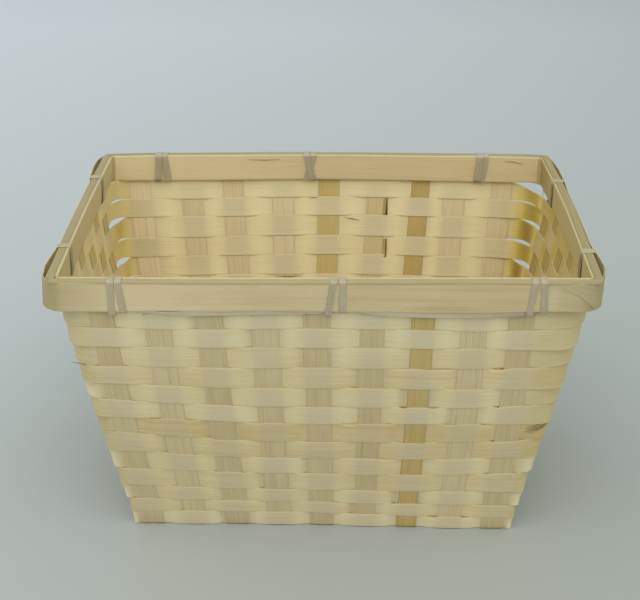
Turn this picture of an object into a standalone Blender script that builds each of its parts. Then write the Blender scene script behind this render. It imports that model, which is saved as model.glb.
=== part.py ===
# A rectangular foraging basket plaited from flat bamboo splints.
# Nine long stakes and six cross stakes weave the base and stand up as the walls. Weavers go
# round them in level rings, one over, one under. Two bands, one outside and one inside, clamp
# the stakes' upper ends under cap strips, and flat ties lash that rim together.
# Metres, +Z up. The origin is on the floor under the middle of the basket, the front is -Y.

from math import cos, hypot, pi, sin

import bpy

# Splints
clearance = 0.0003
stake_width = 0.0145
stake_thickness = 0.0008
stake_bend_radius = 0.0013
weaver_thickness = 0.0006
weaver_ease = 0.0006
lap_lead = 0.0020
lap_tail = 0.0030
butt_gap = 0.0010
row_gap = 0.0005

# Walls: the middle surface of the weave at the floor, and the overall height
floor_length = 0.2250
floor_width = 0.1330
height = 0.1800

# Rim
rim_length = 0.2940
rim_width = 0.2040
outer_band_height = 0.0180
outer_band_thickness = 0.0018
outer_band_corner = 0.0150
inner_band_height = 0.0165
inner_band_thickness = 0.0016
inner_band_corner = 0.0025
cap_thickness = 0.0012
cap_end_inset = 0.0060
cap_edge_radius = 0.0003
band_bow_on_sides = 0.0030
band_bow_in_front = 0.0010
bow_lead = 0.0010
bow_rise_share = 0.67
halfway_share = 0.5

# The hidden ring between the bands
rim_row_height = 0.0125
rim_row_corner = 0.0060

# Lashing
lashing_width = 0.0040
lashing_thickness = 0.0006
lashing_fold = 0.0006
lashing_spacing = 0.0046
lashing_tail = 0.0030

# Corners of the weave: the share of the free splint beyond the last stake that bends
outer_going_corner_share = 0.95
inner_going_corner_share = 0.80
corner_segments = 4
arc_segments = 6
bend_segments = 3

# Where the stakes stand, as shares of the half length or half width of the weave.
# The stakes were pushed apart by hand, so the upper ends are not evenly spaced.
long_floor_shares = (-0.910, -0.683, -0.455, -0.228, 0.0, 0.228, 0.455, 0.683, 0.910)
long_front_shares = (-0.832, -0.625, -0.428, -0.217, -0.021, 0.191, 0.381, 0.576, 0.750)
long_back_shares = (-0.862, -0.627, -0.432, -0.195, 0.021, 0.250, 0.453, 0.613, 0.829)
cross_floor_shares = (-0.842, -0.505, -0.168, 0.168, 0.505, 0.842)
cross_left_shares = (-0.712, -0.427, -0.142, 0.142, 0.427, 0.712)
cross_right_shares = (-0.716, -0.440, -0.148, 0.138, 0.425, 0.706)

# Heights of the thirteen rows below the rim, from the top, as shares of one full row
row_height_shares = (0.87, 0.98, 1.0, 1.03, 0.98, 0.89, 1.01, 0.97, 0.93, 0.94, 0.86, 0.64, 0.66)

# The one stake that was split from riper, golden cane
golden_stake_number = 7

# Ties: wall, the stake gap counted from the wall's first stake, the place in that gap
# as a share of its free half, the sideways lean as a share of the strip's width, and turns
tie_shares = (
    ("front", 0, -0.90, -1.00, 2),
    ("front", 4, -0.75, -0.30, 2),
    ("front", 8, -0.90, -0.50, 2),
    ("right", 0, -0.60, 0.00, 1),
    ("right", 4, -0.60, 0.00, 1),
    ("back", 0, -0.35, 0.40, 2),
    ("back", 4, -0.60, 0.20, 2),
    ("back", 7, 0.05, 0.00, 2),
    ("left", 0, -0.10, 0.00, 1),
    ("left", 4, -0.40, 0.00, 1),
)

# Levels and sizes that follow from those above
wall_depth = stake_thickness + 2 * (weaver_thickness + clearance)
rim_line_length = rim_length / 2 - outer_band_thickness - clearance - wall_depth / 2
rim_line_width = rim_width / 2 - outer_band_thickness - clearance - wall_depth / 2
outer_band_top = height - cap_thickness - clearance
outer_band_foot = outer_band_top - outer_band_height
inner_band_foot = height - inner_band_height
lift = (stake_thickness + weaver_thickness) / 2 + clearance
stake_top = height - cap_thickness - clearance
tie_floor = outer_band_foot - clearance - lashing_thickness / 2
tie_roof = height + clearance + lashing_thickness / 2
rows_top = tie_floor - lashing_thickness / 2 - clearance + row_gap / 2
low_level = stake_thickness / 2
cross_level = low_level + stake_thickness + clearance
high_level = cross_level + stake_thickness + clearance
rows_foot = cross_level + stake_bend_radius


def blend(start, end, share):
    return start + (end - start) * share


def wall_share(z):
    """How far up the leaning part of the wall a height is; the rim above it stands upright."""
    return min(max(z / outer_band_foot, 0), 1)


def half_length(z):
    return blend(floor_length / 2, rim_line_length, wall_share(z))


def half_width(z):
    return blend(floor_width / 2, rim_line_width, wall_share(z))


class Wall:
    """One wall seen from outside its frame: a direction along it and one pointing out."""

    def __init__(self, name, along, outward, reach, stakes):
        self.name = name
        self.along = along
        self.outward = outward
        self.reach = reach
        self.stakes = stakes

    def plan(self, place, offset_out):
        """Plan position at a place along the wall and a distance out from the centre."""
        return (
            place * self.along[0] + offset_out * self.outward[0],
            place * self.along[1] + offset_out * self.outward[1],
        )

    def lean(self):
        """Length of the leaning wall for each unit of height."""
        run = self.reach(outer_band_foot) - self.reach(0)
        return hypot(1, run / outer_band_foot)


def stake_line(floor_share, top_share, half):
    """A stake's place along its wall as a function of height."""
    return lambda z: blend(floor_share * half(0), top_share * half(outer_band_foot), wall_share(z))


def turned(line):
    return lambda z: -line(z)


long_front = [stake_line(f, t, half_length) for f, t in zip(long_floor_shares, long_front_shares)]
long_back = [stake_line(f, t, half_length) for f, t in zip(long_floor_shares, long_back_shares)]
cross_left = [stake_line(f, t, half_width) for f, t in zip(cross_floor_shares, cross_left_shares)]
cross_right = [stake_line(f, t, half_width) for f, t in zip(cross_floor_shares, cross_right_shares)]

# Going round against the clock as seen from above
walls = [
    Wall("front", (1, 0), (0, -1), half_width, long_front),
    Wall("right", (0, 1), (1, 0), half_length, cross_right),
    Wall("back", (-1, 0), (0, 1), half_width, [turned(line) for line in reversed(long_back)]),
    Wall("left", (0, -1), (-1, 0), half_length, [turned(line) for line in reversed(cross_left)]),
]


def new_material(name, colour, roughness):
    material = bpy.data.materials.new(name)
    material.use_nodes = True
    shader = material.node_tree.nodes["Principled BSDF"]
    shader.inputs["Base Color"].default_value = (*colour, 1)
    shader.inputs["Roughness"].default_value = roughness
    shader.inputs["Metallic"].default_value = 0
    material.diffuse_color = (*colour, 1)
    return material


def ribbon(name, edges, thickness, material, closed=False):
    """A flat splint: an open strip between two edge lines, given its thickness by Solidify."""
    vertices = [point for pair in edges for point in pair]
    spans = len(edges) if closed else len(edges) - 1
    quads = []
    for span in range(spans):
        here = 2 * span
        there = 2 * ((span + 1) % len(edges))
        quads.append((here, here + 1, there + 1, there))
    mesh = bpy.data.meshes.new(name)
    mesh.from_pydata(vertices, [], quads)
    mesh.materials.append(material)
    splint = bpy.data.objects.new(name, mesh)
    basket.objects.link(splint)
    solidify = splint.modifiers.new("thickness", "SOLIDIFY")
    solidify.thickness = thickness
    solidify.offset = 0
    solidify.use_even_offset = True
    return splint


def corner_curve(wall, next_wall, z, leg, next_leg, offset, next_offset):
    """Plan points of a splint that bends from one wall to the next."""
    reach = wall.reach(z) + offset
    next_reach = next_wall.reach(z) + next_offset
    start = wall.plan(next_wall.reach(z) - leg, reach)
    crown = wall.plan(next_reach, reach)
    end = next_wall.plan(next_leg - wall.reach(z), next_reach)
    points = []
    for step in range(corner_segments + 1):
        t = step / corner_segments
        weights = ((1 - t) ** 2, 2 * t * (1 - t), t ** 2)
        points.append(tuple(
            weights[0] * start[axis] + weights[1] * crown[axis] + weights[2] * end[axis]
            for axis in (0, 1)
        ))
    return points


def free_splint(wall, next_wall, z):
    """Length from the last stake's edge to the corner, and from there to the next stake."""
    half = stake_width / 2 + weaver_ease
    last = next_wall.reach(z) - (wall.stakes[-1](z) + half)
    first = wall.reach(z) + (next_wall.stakes[0](z) - half)
    return last, first


def weaver_plan(z, row, rise, between_bands):
    """Plan points of one weaver: flat past each stake, inside or outside it by turns.

    It starts and ends inside a stake of the front wall. The end laps over the start, except
    between the rim's bands, where there is no room and the two ends butt.
    """
    candidates = [i for i in range(1, len(long_front) - 1) if (i + row) % 2]
    lap_index = candidates[(row // 2) % len(candidates)]
    lap_stake = long_front[lap_index](z)
    points = []
    index = 0
    start = 0
    for number, wall in enumerate(walls):
        next_wall = walls[(number + 1) % len(walls)]
        side = 1
        for stake in wall.stakes:
            if index == lap_index:
                start = len(points)
            side = 1 if (index + row) % 2 == 0 else -1
            reach = wall.reach(z) + side * rise
            for end in (-1, 1):
                place = stake(z) + end * (stake_width / 2 + weaver_ease)
                points.append(wall.plan(place, reach))
            index += 1
        last, first = free_splint(wall, next_wall, z)
        share = outer_going_corner_share if row % 2 else inner_going_corner_share
        leg, next_leg = share * last, share * first
        if between_bands:
            leg, next_leg = min(leg, rim_row_corner), min(next_leg, rim_row_corner)
        points += corner_curve(wall, next_wall, z, leg, next_leg, side * rise, -side * rise)
    points = points[start:] + points[:start]
    front = walls[0]
    half = stake_width / 2 + weaver_ease
    if between_bands:
        points[0] = front.plan(lap_stake + butt_gap / 2, front.reach(z) - rise)
        points.append(front.plan(lap_stake - half, front.reach(z) - rise))
        points.append(front.plan(lap_stake - butt_gap / 2, front.reach(z) - rise))
    else:
        lapped = front.reach(z) - rise - weaver_thickness - clearance
        points.append(front.plan(lap_stake - half - lap_lead, lapped))
        points.append(front.plan(lap_stake + half + lap_tail, lapped))
    return points


def weaver(name, row, top, foot, rise, between_bands=False):
    upper = weaver_plan(top, row, rise, between_bands)
    lower = weaver_plan(foot, row, rise, between_bands)
    edges = [((*a, top), (*b, foot)) for a, b in zip(upper, lower)]
    return ribbon(name, edges, weaver_thickness, materials["weaver"])


def build_weavers():
    lean = max(wall.lean() for wall in walls)
    rim_foot = outer_band_foot + row_gap
    weaver("weaver_row_00", 0, rim_foot + rim_row_height, rim_foot, lift, between_bands=True)
    unit = (rows_top - rows_foot) / sum(row_height_shares)
    top = rows_top
    for row, share in enumerate(row_height_shares, start=1):
        foot = top - share * unit
        weaver(f"weaver_row_{row:02d}", row, top - row_gap / 2, foot + row_gap / 2, lift * lean)
        top = foot


def bend(level, outward_reach):
    """Quarter bend from the base to the wall: distance out and height of each section."""
    points = []
    top = level + stake_bend_radius
    centre = outward_reach(top) - stake_bend_radius
    for step in range(bend_segments + 1):
        angle = pi / 2 * step / bend_segments
        points.append((centre + stake_bend_radius * sin(angle), top - stake_bend_radius * cos(angle)))
    return points


def wall_profile(outward_reach):
    """Distance out and height from the rim's foot to the stake's upper end."""
    return [(outward_reach(z), z) for z in (outer_band_foot, stake_top)]


def long_stake(number):
    """From the front rim down, through the base over and under the cross stakes, and up."""
    half = stake_width / 2
    passes = []
    for cross, share in enumerate(cross_floor_shares, start=1):
        level = low_level if (number + cross) % 2 == 0 else high_level
        middle = share * half_width(0)
        for end in (-1, 1):
            passes.append((middle + end * (half + weaver_ease), level))
    front = [(-out, z) for out, z in bend(passes[0][1], half_width) + wall_profile(half_width)]
    back = bend(passes[-1][1], half_width) + wall_profile(half_width)
    edges = []
    for line, profile in ((long_front, front[::-1]), (None, passes), (long_back, back)):
        for y, z in profile:
            place = line[number - 1](z) if line else long_floor_shares[number - 1] * half_length(0)
            edges.append(((place - half, y, z), (place + half, y, z)))
    slot = "golden_stake" if number == golden_stake_number else "stake"
    return ribbon(f"stake_long_{number}", edges, stake_thickness, materials[slot])


def cross_stake(number):
    """From the left rim down, flat through the base between the long stakes, and up."""
    half = stake_width / 2
    left = [(-out, z) for out, z in bend(cross_level, half_length) + wall_profile(half_length)]
    right = bend(cross_level, half_length) + wall_profile(half_length)
    edges = []
    for line, profile in ((cross_left, left[::-1]), (cross_right, right)):
        for x, z in profile:
            place = line[number - 1](z)
            edges.append(((x, place + half, z), (x, place - half, z)))
    return ribbon(f"stake_cross_{number}", edges, stake_thickness, materials["stake"])


def outer_band():
    """The outer band bows out between the last tie and the corner, and turns on an arc."""
    offset = wall_depth / 2 + clearance + outer_band_thickness / 2
    points = []
    for number, wall in enumerate(walls):
        next_wall = walls[(number + 1) % len(walls)]
        on_side = wall.name in ("left", "right")
        bow = band_bow_on_sides if on_side else band_bow_in_front
        next_bow = band_bow_in_front if on_side else band_bow_on_sides
        bow_start = tied_stretch(wall)[1] + bow_lead
        bow_end = tied_stretch(next_wall)[0] - bow_lead
        line = wall.reach(height) + offset
        next_line = next_wall.reach(height) + offset
        centre_along = next_line + next_bow - outer_band_corner
        centre_out = line + bow - outer_band_corner
        points.append(wall.plan(bow_start, line))
        rise = blend(bow_start, centre_along, halfway_share)
        points.append(wall.plan(rise, line + bow * bow_rise_share))
        for step in range(arc_segments + 1):
            angle = pi / 2 * step / arc_segments
            points.append(wall.plan(
                centre_along + outer_band_corner * sin(angle),
                centre_out + outer_band_corner * cos(angle),
            ))
        fall = blend(bow_end, -centre_out, halfway_share)
        points.append(next_wall.plan(fall, next_line + next_bow * bow_rise_share))
        points.append(next_wall.plan(bow_end, next_line))
    edges = [((*p, outer_band_top), (*p, outer_band_foot)) for p in points]
    return ribbon("rim_band_outer", edges, outer_band_thickness, materials["band"], closed=True)


def inner_band():
    offset = wall_depth / 2 + clearance + inner_band_thickness / 2
    points = []
    for number, wall in enumerate(walls):
        next_wall = walls[(number + 1) % len(walls)]
        line = wall.reach(height) - offset
        next_line = next_wall.reach(height) - offset
        for step in range(arc_segments + 1):
            angle = pi / 2 * step / arc_segments
            points.append(wall.plan(
                next_line - inner_band_corner * (1 - sin(angle)),
                line - inner_band_corner * (1 - cos(angle)),
            ))
    edges = [((*p, height), (*p, inner_band_foot)) for p in points]
    return ribbon("rim_band_inner", edges, inner_band_thickness, materials["band"], closed=True)


def caps():
    """Cap strips lie on the outer band and the stakes' ends, against the inner band."""
    inner_face = wall_depth / 2
    for wall in walls:
        index = walls.index(wall)
        outer = wall.reach(height) + wall_depth / 2 + clearance + outer_band_thickness
        inner = wall.reach(height) - inner_face
        across = walls[(index + 1) % len(walls)]
        if wall.name in ("front", "back"):
            half = across.reach(height) + wall_depth / 2 + outer_band_thickness - cap_end_inset
        else:
            half = across.reach(height) - inner_face - clearance
        x, y = wall.plan(0, (outer + inner) / 2)
        bpy.ops.mesh.primitive_cube_add(size=1, location=(x, y, height - cap_thickness / 2))
        cap = bpy.context.object
        cap.name = f"rim_cap_{wall.name}"
        width = outer - inner
        long_side = 2 * half
        cap.scale = (
            abs(wall.along[0]) * long_side + abs(wall.outward[0]) * width,
            abs(wall.along[1]) * long_side + abs(wall.outward[1]) * width,
            cap_thickness,
        )
        bpy.ops.object.transform_apply(location=False, rotation=False, scale=True)
        cap.data.materials.append(materials["band"])
        bevel = cap.modifiers.new("worn_edges", "BEVEL")
        bevel.width = cap_edge_radius
        bevel.segments = 1
        for collection in list(cap.users_collection):
            collection.objects.unlink(cap)
        basket.objects.link(cap)


def rim_lasher(top):
    """The lashing's long runs from tie to tie, outside the first row, as one ring."""
    lean = max(wall.lean() for wall in walls)
    offset = (lift + weaver_thickness / 2 + clearance + lashing_thickness / 2) * lean
    foot = top - lashing_width
    edges = []
    for number, wall in enumerate(walls):
        next_wall = walls[(number + 1) % len(walls)]
        plans = []
        for z in (top, foot):
            last, first = free_splint(wall, next_wall, z)
            leg, next_leg = outer_going_corner_share * last, outer_going_corner_share * first
            plans.append(corner_curve(wall, next_wall, z, leg, next_leg, offset, offset))
        edges += [((*a, top), (*b, foot)) for a, b in zip(*plans)]
    return ribbon("rim_lasher", edges, lashing_thickness, materials["lashing"], closed=True)


def gap_between(wall, gap):
    """Free space beside a stake under the rim: its middle and its half, at the rim's foot."""
    z = outer_band_foot
    half = stake_width / 2
    low = wall.stakes[gap](z) + half
    if gap + 1 < len(wall.stakes):
        high = wall.stakes[gap + 1](z) - half
    else:
        next_wall = walls[(walls.index(wall) + 1) % len(walls)]
        high = next_wall.reach(z) - rim_row_corner
    return (low + high) / 2, (high - low) / 2


def tie_layout():
    """Each tie: its wall, number on it, places at the rim's foot and head, and turns."""
    layout = []
    for wall in walls:
        on_wall = [row for row in tie_shares if row[0] == wall.name]
        for number, (_, gap, place_share, lean_share, turns) in enumerate(on_wall, start=1):
            middle, half = gap_between(wall, gap)
            foot = middle + place_share * (half - tie_span(turns) / 2 - clearance)
            head = foot + lean_share * lashing_width
            layout.append((wall, number, foot, head, turns))
    return layout


def tie_span(turns):
    return lashing_width + (turns - 1) * lashing_spacing


def tied_stretch(wall):
    """From the first tie's near edge to the last tie's far edge on a wall."""
    edges = []
    for tied_wall, _, foot, head, turns in tie_layout():
        if tied_wall is wall:
            half = tie_span(turns) / 2
            edges += [foot - half, foot + half, head - half, head + half]
    return min(edges), max(edges)


def tie(wall, number, foot_place, head_place, turns):
    """A flat strip wound round the whole rim, through the slot above the first row."""
    reach = wall.reach(height)
    gap_to_strip = clearance + lashing_thickness / 2
    outside = reach + wall_depth / 2 + clearance + outer_band_thickness + gap_to_strip
    inside = reach - wall_depth / 2 - clearance - inner_band_thickness - gap_to_strip
    up_and_over = (
        (outside, tie_floor + lashing_fold, foot_place),
        (outside, tie_roof - lashing_fold, head_place),
        (outside - lashing_fold, tie_roof, head_place),
        (inside + lashing_fold, tie_roof, head_place),
        (inside, tie_roof - lashing_fold, head_place),
    )
    step_over = lashing_spacing if turns > 1 else 0
    sections = []
    for turn in range(turns):
        shift = (turn - (turns - 1) / 2) * lashing_spacing
        sections += [(out, z, place + shift) for out, z, place in up_and_over]
        if turns > 1 and turn == turns - 1:
            sections.append((inside, tie_floor + lashing_tail, foot_place + shift))
        else:
            sections.append((inside, tie_floor + lashing_fold, foot_place + shift))
            sections.append((inside + lashing_fold, tie_floor, foot_place + shift))
            sections.append((outside - lashing_fold, tie_floor, foot_place + shift + step_over))
    edges = []
    for out, z, place in sections:
        left = wall.plan(place - lashing_width / 2, out)
        right = wall.plan(place + lashing_width / 2, out)
        edges.append(((*left, z), (*right, z)))
    name = f"rim_tie_{wall.name}_{number}"
    return ribbon(name, edges, lashing_thickness, materials["lashing"], closed=turns == 1)


def build_rim():
    outer_band()
    inner_band()
    caps()
    rim_lasher(rows_top - row_gap / 2)
    for place in tie_layout():
        tie(*place)


for leftover in list(bpy.data.objects):
    bpy.data.objects.remove(leftover)

basket = bpy.data.collections.new("foraging_basket")
bpy.context.scene.collection.children.link(basket)
materials = {
    "weaver": new_material("weaver", (0.62, 0.52, 0.30), 0.45),
    "stake": new_material("stake", (0.45, 0.36, 0.19), 0.60),
    "golden_stake": new_material("golden_stake", (0.42, 0.30, 0.11), 0.60),
    "band": new_material("band", (0.50, 0.41, 0.22), 0.50),
    "lashing": new_material("lashing", (0.36, 0.33, 0.22), 0.60),
}

for number in range(1, len(long_floor_shares) + 1):
    long_stake(number)
for number in range(1, len(cross_floor_shares) + 1):
    cross_stake(number)
build_weavers()
build_rim()
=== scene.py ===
from math import cos, pi, radians, sin
from random import Random

import bpy
import numpy as np
from mathutils import Matrix, Vector


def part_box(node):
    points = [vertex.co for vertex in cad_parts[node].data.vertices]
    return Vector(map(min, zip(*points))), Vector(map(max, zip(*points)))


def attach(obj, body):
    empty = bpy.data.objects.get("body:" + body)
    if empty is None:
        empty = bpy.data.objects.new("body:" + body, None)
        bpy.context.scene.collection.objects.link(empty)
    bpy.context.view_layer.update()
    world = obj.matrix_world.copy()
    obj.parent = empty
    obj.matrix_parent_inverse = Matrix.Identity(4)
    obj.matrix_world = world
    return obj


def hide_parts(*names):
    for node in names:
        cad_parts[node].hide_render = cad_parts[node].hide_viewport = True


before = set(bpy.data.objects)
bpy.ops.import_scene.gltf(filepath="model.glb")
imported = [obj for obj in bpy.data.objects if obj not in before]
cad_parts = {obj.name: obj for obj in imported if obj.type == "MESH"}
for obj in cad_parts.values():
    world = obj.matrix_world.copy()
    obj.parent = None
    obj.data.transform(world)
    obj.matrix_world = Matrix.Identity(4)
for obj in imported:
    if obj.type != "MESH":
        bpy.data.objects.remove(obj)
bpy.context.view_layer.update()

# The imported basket: sizes in metres, repeated from the part's own source
basket = {
    "floorLength": 0.2250,       # middle surface of the weave at the floor
    "floorWidth": 0.1330,
    "rimLength": 0.2872,         # the same surface inside the rim
    "rimWidth": 0.1972,
    "leanTop": 0.1605,           # the walls lean up to here and stand upright above
    "height": 0.1800,
    "wallDepth": 0.0026,
    "gap": 0.0003,               # between the weave and what stands against it
    "stakeWidth": 0.0145,
    "stakeThickness": 0.0006,
    "bandTop": 0.1785,
    "outerFoot": 0.1624,         # where the bands' feet stand
    "innerFoot": 0.1632,
    "rowsTop": 0.15955,
    "rowsFoot": 0.0028,
}
rowShares = (0.87, 0.98, 1.0, 1.03, 0.98, 0.89, 1.01, 0.97, 0.93, 0.94, 0.86, 0.64, 0.66)
# Where each stake crosses the floor and meets the rim, as shares of the half length or width
longFloor = (-0.910, -0.683, -0.455, -0.228, 0.0, 0.228, 0.455, 0.683, 0.910)
longFront = (-0.832, -0.625, -0.428, -0.217, -0.021, 0.191, 0.381, 0.576, 0.750)
longBack = (-0.862, -0.627, -0.432, -0.195, 0.021, 0.250, 0.453, 0.613, 0.829)
crossFloor = (-0.842, -0.505, -0.168, 0.168, 0.505, 0.842)
crossLeft = (-0.712, -0.427, -0.142, 0.142, 0.427, 0.712)
crossRight = (-0.716, -0.440, -0.148, 0.138, 0.425, 0.706)


def blend(start, end, share):
    return start + (end - start) * share


def ramp(values, start, end):
    # 0 at the start and 1 at the end, held beyond them
    return np.clip((values - start) / (end - start), 0, 1)


def smooth(share):
    return 3 * share ** 2 - 2 * share ** 3


def halfLength(z):
    return blend(basket["floorLength"], basket["rimLength"], ramp(z, 0, basket["leanTop"])) / 2


def halfWidth(z):
    return blend(basket["floorWidth"], basket["rimWidth"], ramp(z, 0, basket["leanTop"])) / 2


def stakeLine(floorShare, topShare, half, sign=1):
    low, high = floorShare * half(0), topShare * half(basket["leanTop"])
    return lambda z: sign * blend(low, high, ramp(z, 0, basket["leanTop"]))


def makeWall(name, along, out, reach, floors, tops, half):
    turned = min(along) < 0      # counted from its own left end, as seen from outside
    lines = [stakeLine(f, t, half, -1 if turned else 1) for f, t in zip(floors, tops)]
    return {"name": name, "along": along, "out": out, "reach": reach,
            "stakes": lines[::-1] if turned else lines}


# Going round against the clock as seen from above
walls = [
    makeWall("front", (1, 0), (0, -1), halfWidth, longFloor, longFront, halfLength),
    makeWall("right", (0, 1), (1, 0), halfLength, crossFloor, crossRight, halfWidth),
    makeWall("back", (-1, 0), (0, 1), halfWidth, longFloor, longBack, halfLength),
    makeWall("left", (0, -1), (-1, 0), halfLength, crossFloor, crossLeft, halfWidth),
]


def spot(wall, place, out):
    return np.array([place * wall["along"][i] + out * wall["out"][i] for i in (0, 1)])


def nextTo(number):
    return walls[(number + 1) % len(walls)]


# How the finished basket has settled out of its plan, in metres
settling = {
    "bulge": 0.0020, "bulges": (0.020, 0.160),         # the walls stand out between two heights
    "backBow": 0.0045, "bowed": (0.0, 0.100),          # the back wall bows out at the middle
    # the rim in front hangs lower at its left end
    "rimDrop": 0.0011, "dropped": (0.150, 0.158), "dropAlong": (0.7, -0.5),
    # the foot in front stands further forward at its right end
    "footForward": 0.0032, "forward": (0.060, 0.0), "forwardAlong": (-0.1, 0.65),
    "forwardGrowth": 1.6,        # how soon it is whole, from the middle of the floor to the front
    # the rim's top behind stands higher: shares of the half length, then how much
    "lifted": (0.166, 0.179), "behind": (0.8, 1),
    "backLift": ((-1.0, -0.95, -0.81, -0.49, 0.0, 0.40, 0.75, 0.91, 1.0),
                 (0.0002, 0.0004, 0.0010, 0.0008, 0.0005, 0.0008, 0.0015, 0.0013, 0.0007)),
    # how far each side stands out near its ends, from front to back, at three heights
    "ends": (0.80, 0.98), "heights": (0.0, 0.120, 0.172),
    "right": ((0.0015, 0.0015, 0.0015, 0.0015, 0.0015), (0.0017, 0.0029, 0.0041, 0.0033, 0.0021),
              (0.0035, 0.0044, 0.0052, 0.0050, 0.0033)),
    "left": ((0.0012, 0.0012, 0.0012, 0.0012, 0.0012), (0.0003, 0.0012, 0.0024, 0.0040, 0.0056),
             (0.0013, 0.0019, 0.0021, 0.0018, 0.0010)),
}
# Millimetres that each row's lower edge lies above its plan, from left to right along the front
# and the back, and for the rows behind that can't be seen by their height
drift = {
    "frontPlaces": np.linspace(-0.9, 0.9, 7), "backPlaces": (-0.85, 0.03, 0.77),
    "front": (
        (1.5, 0.6, 0.9, 1.7, 1.2, 0.2, 1.6), (1.9, 1.8, 1.6, 2.0, 1.8, 1.7, 0.9),
        (2.2, 1.6, 0.9, 1.7, 1.0, 1.3, 2.3), (3.6, 2.0, 0.8, 1.1, 0.7, 0.7, 0.9),
        (5.1, 1.8, 0.5, 0.0, 0.4, 0.1, 2.5), (4.0, 2.2, 0.1, -0.6, -0.2, -0.3, 0.5),
        (6.0, 2.2, -0.2, -0.4, -0.9, -0.5, 1.5), (4.2, 1.0, -0.7, -0.5, -0.9, -1.0, 1.5),
        (2.4, 1.0, -0.6, -0.8, -1.3, -0.9, 1.4), (1.6, -0.6, -1.5, -1.7, -1.7, -1.5, -1.2),
        (1.6, 0.5, -0.2, -0.1, -1.1, -0.6, -1.2), (-0.2, -0.4, -0.8, -0.7, -1.5, -1.7, -1.9),
    ),
    "back": ((1.9, 2.6, 2.4), (2.7, 3.2, 3.3), (1.5, 2.7, 2.3), (2.5, 3.5, 3.2)),
    "hidden": ((0, 0.1), (0, 2.8)),
}


def settled(points):
    x, y, z = points.T
    sideShare, depthShare = x / (basket["rimLength"] / 2), y / (basket["rimWidth"] / 2)
    front, back = np.clip(-depthShare, 0, 1), np.clip(depthShare, 0, 1)
    bulge = settling["bulge"] * np.sin(pi * ramp(z, *settling["bulges"]))
    bow = settling["backBow"] * ramp(z, *settling["bowed"]) * back
    bow = bow * np.cos(pi / 2 * np.clip(sideShare, -1, 1)) ** 2
    level = np.interp(z, settling["heights"], (0, 1, 2))
    push = 0
    for side, name in ((1, "right"), (-1, "left")):
        low, middle, high = (np.interp(depthShare, np.linspace(-1, 1, 5), row) for row in settling[name])
        stand = np.where(level < 1, blend(low, middle, level), blend(middle, high, level - 1))
        push = push + np.where(x * side > 0, side * stand, 0)
    push = push * smooth(ramp(np.abs(x) / halfLength(z), *settling["ends"]))
    drop = settling["rimDrop"] * ramp(z, *settling["dropped"]) * front
    drop = drop * ramp(sideShare, *settling["dropAlong"])
    forward = settling["footForward"] * ramp(z, *settling["forward"])
    forward = forward * np.minimum(settling["forwardGrowth"] * front, 1)
    forward = forward * ramp(sideShare, *settling["forwardAlong"])
    lift = ramp(z, *settling["lifted"]) * ramp(depthShare, *settling["behind"])
    lift = lift * np.interp(sideShare, *settling["backLift"])
    return np.column_stack([x + bulge * sideShare + push, y + bulge * depthShare + bow - forward,
                            z - drop + lift])


def rowDrift(k, points):
    # how far the lower edge of row k lies off its plan at some places
    z = rowLevels[k]
    along, across = points[:, 0] / halfLength(z), ramp(points[:, 1] / halfWidth(z), -1, 1)
    front = np.interp(along, drift["frontPlaces"], drift["front"][k - 1])
    if k <= len(drift["back"]):
        back = np.interp(along, drift["backPlaces"], drift["back"][k - 1])
    else:
        back = np.interp(z, *drift["hidden"])
    return 0.001 * blend(front, back, across)


def wobble(name, size, cycles):
    # a repeatable unevenness over a share from 0 to 1, the same at both ends
    dice = Random(name)
    waves = [(count, dice.uniform(0, 2 * pi), dice.uniform(0.5, 1)) for count in cycles]
    total = sum(wave[2] for wave in waves)
    return lambda share: size / total * sum(w * np.sin(2 * pi * c * share + p) for c, p, w in waves)


def runLengths(points, closed=False):
    points = np.asarray(points, float)
    steps = np.linalg.norm(np.diff(points, axis=0), axis=1)
    if closed:
        steps = np.append(steps, np.linalg.norm(points[0] - points[-1]))
    return np.concatenate([[0], np.cumsum(steps)])


def runShares(points, closed=False):
    lengths = runLengths(points, closed)
    return lengths[:len(points)] / lengths[-1]


def travelOf(path, closed=False):
    if closed:
        return np.roll(path, -1, axis=0) - np.roll(path, 1, axis=0)
    return np.gradient(path, axis=0)


def outwardOf(path, closed=False):
    travel = travelOf(path, closed)
    return np.column_stack([travel[:, 1], -travel[:, 0]]) / np.linalg.norm(travel, axis=1)[:, None]


def raised(path, heights):
    return np.column_stack([path, np.broadcast_to(heights, len(path))])


def roundedPath(points, step, softness, closed=False):
    # an evenly stepped path with its corners rounded
    points = np.asarray(points, float)
    if closed:
        points = np.vstack([points, points[:1]])
    lengths = runLengths(points)
    at = np.linspace(0, lengths[-1], max(int(lengths[-1] / step), 8) + 1)
    fine = np.stack([np.interp(at, lengths, column) for column in points.T], axis=1)
    reach = max(int(3 * softness / step), 1)
    kernel = np.exp(-0.5 * (np.arange(-reach, reach + 1) * step / softness) ** 2)
    kernel /= kernel.sum()
    if closed:
        fine = fine[:-1]
        padded = np.vstack([fine[-reach:], fine, fine[:reach]])
    else:
        padded = np.vstack([2 * fine[0] - fine[reach:0:-1], fine,
                            2 * fine[-1] - fine[-2:-reach - 2:-1]])
    return np.stack([np.convolve(column, kernel, "valid") for column in padded.T], axis=1)


def thinned(path, mostTurn, mostStep):
    # the points that a path needs: more where it bends
    runs = np.diff(path, axis=0)
    lengths = np.linalg.norm(runs, axis=1)
    ways = runs / lengths[:, None]
    kept, turned, gone = [0], 0.0, 0.0
    for i in range(1, len(path) - 1):
        turned += np.arccos(np.clip(np.dot(ways[i - 1], ways[i]), -1, 1))
        gone += lengths[i - 1]
        if turned > mostTurn or gone > mostStep:
            kept.append(i)
            turned, gone = 0.0, 0.0
    return path[kept + [len(path) - 1]]


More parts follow.
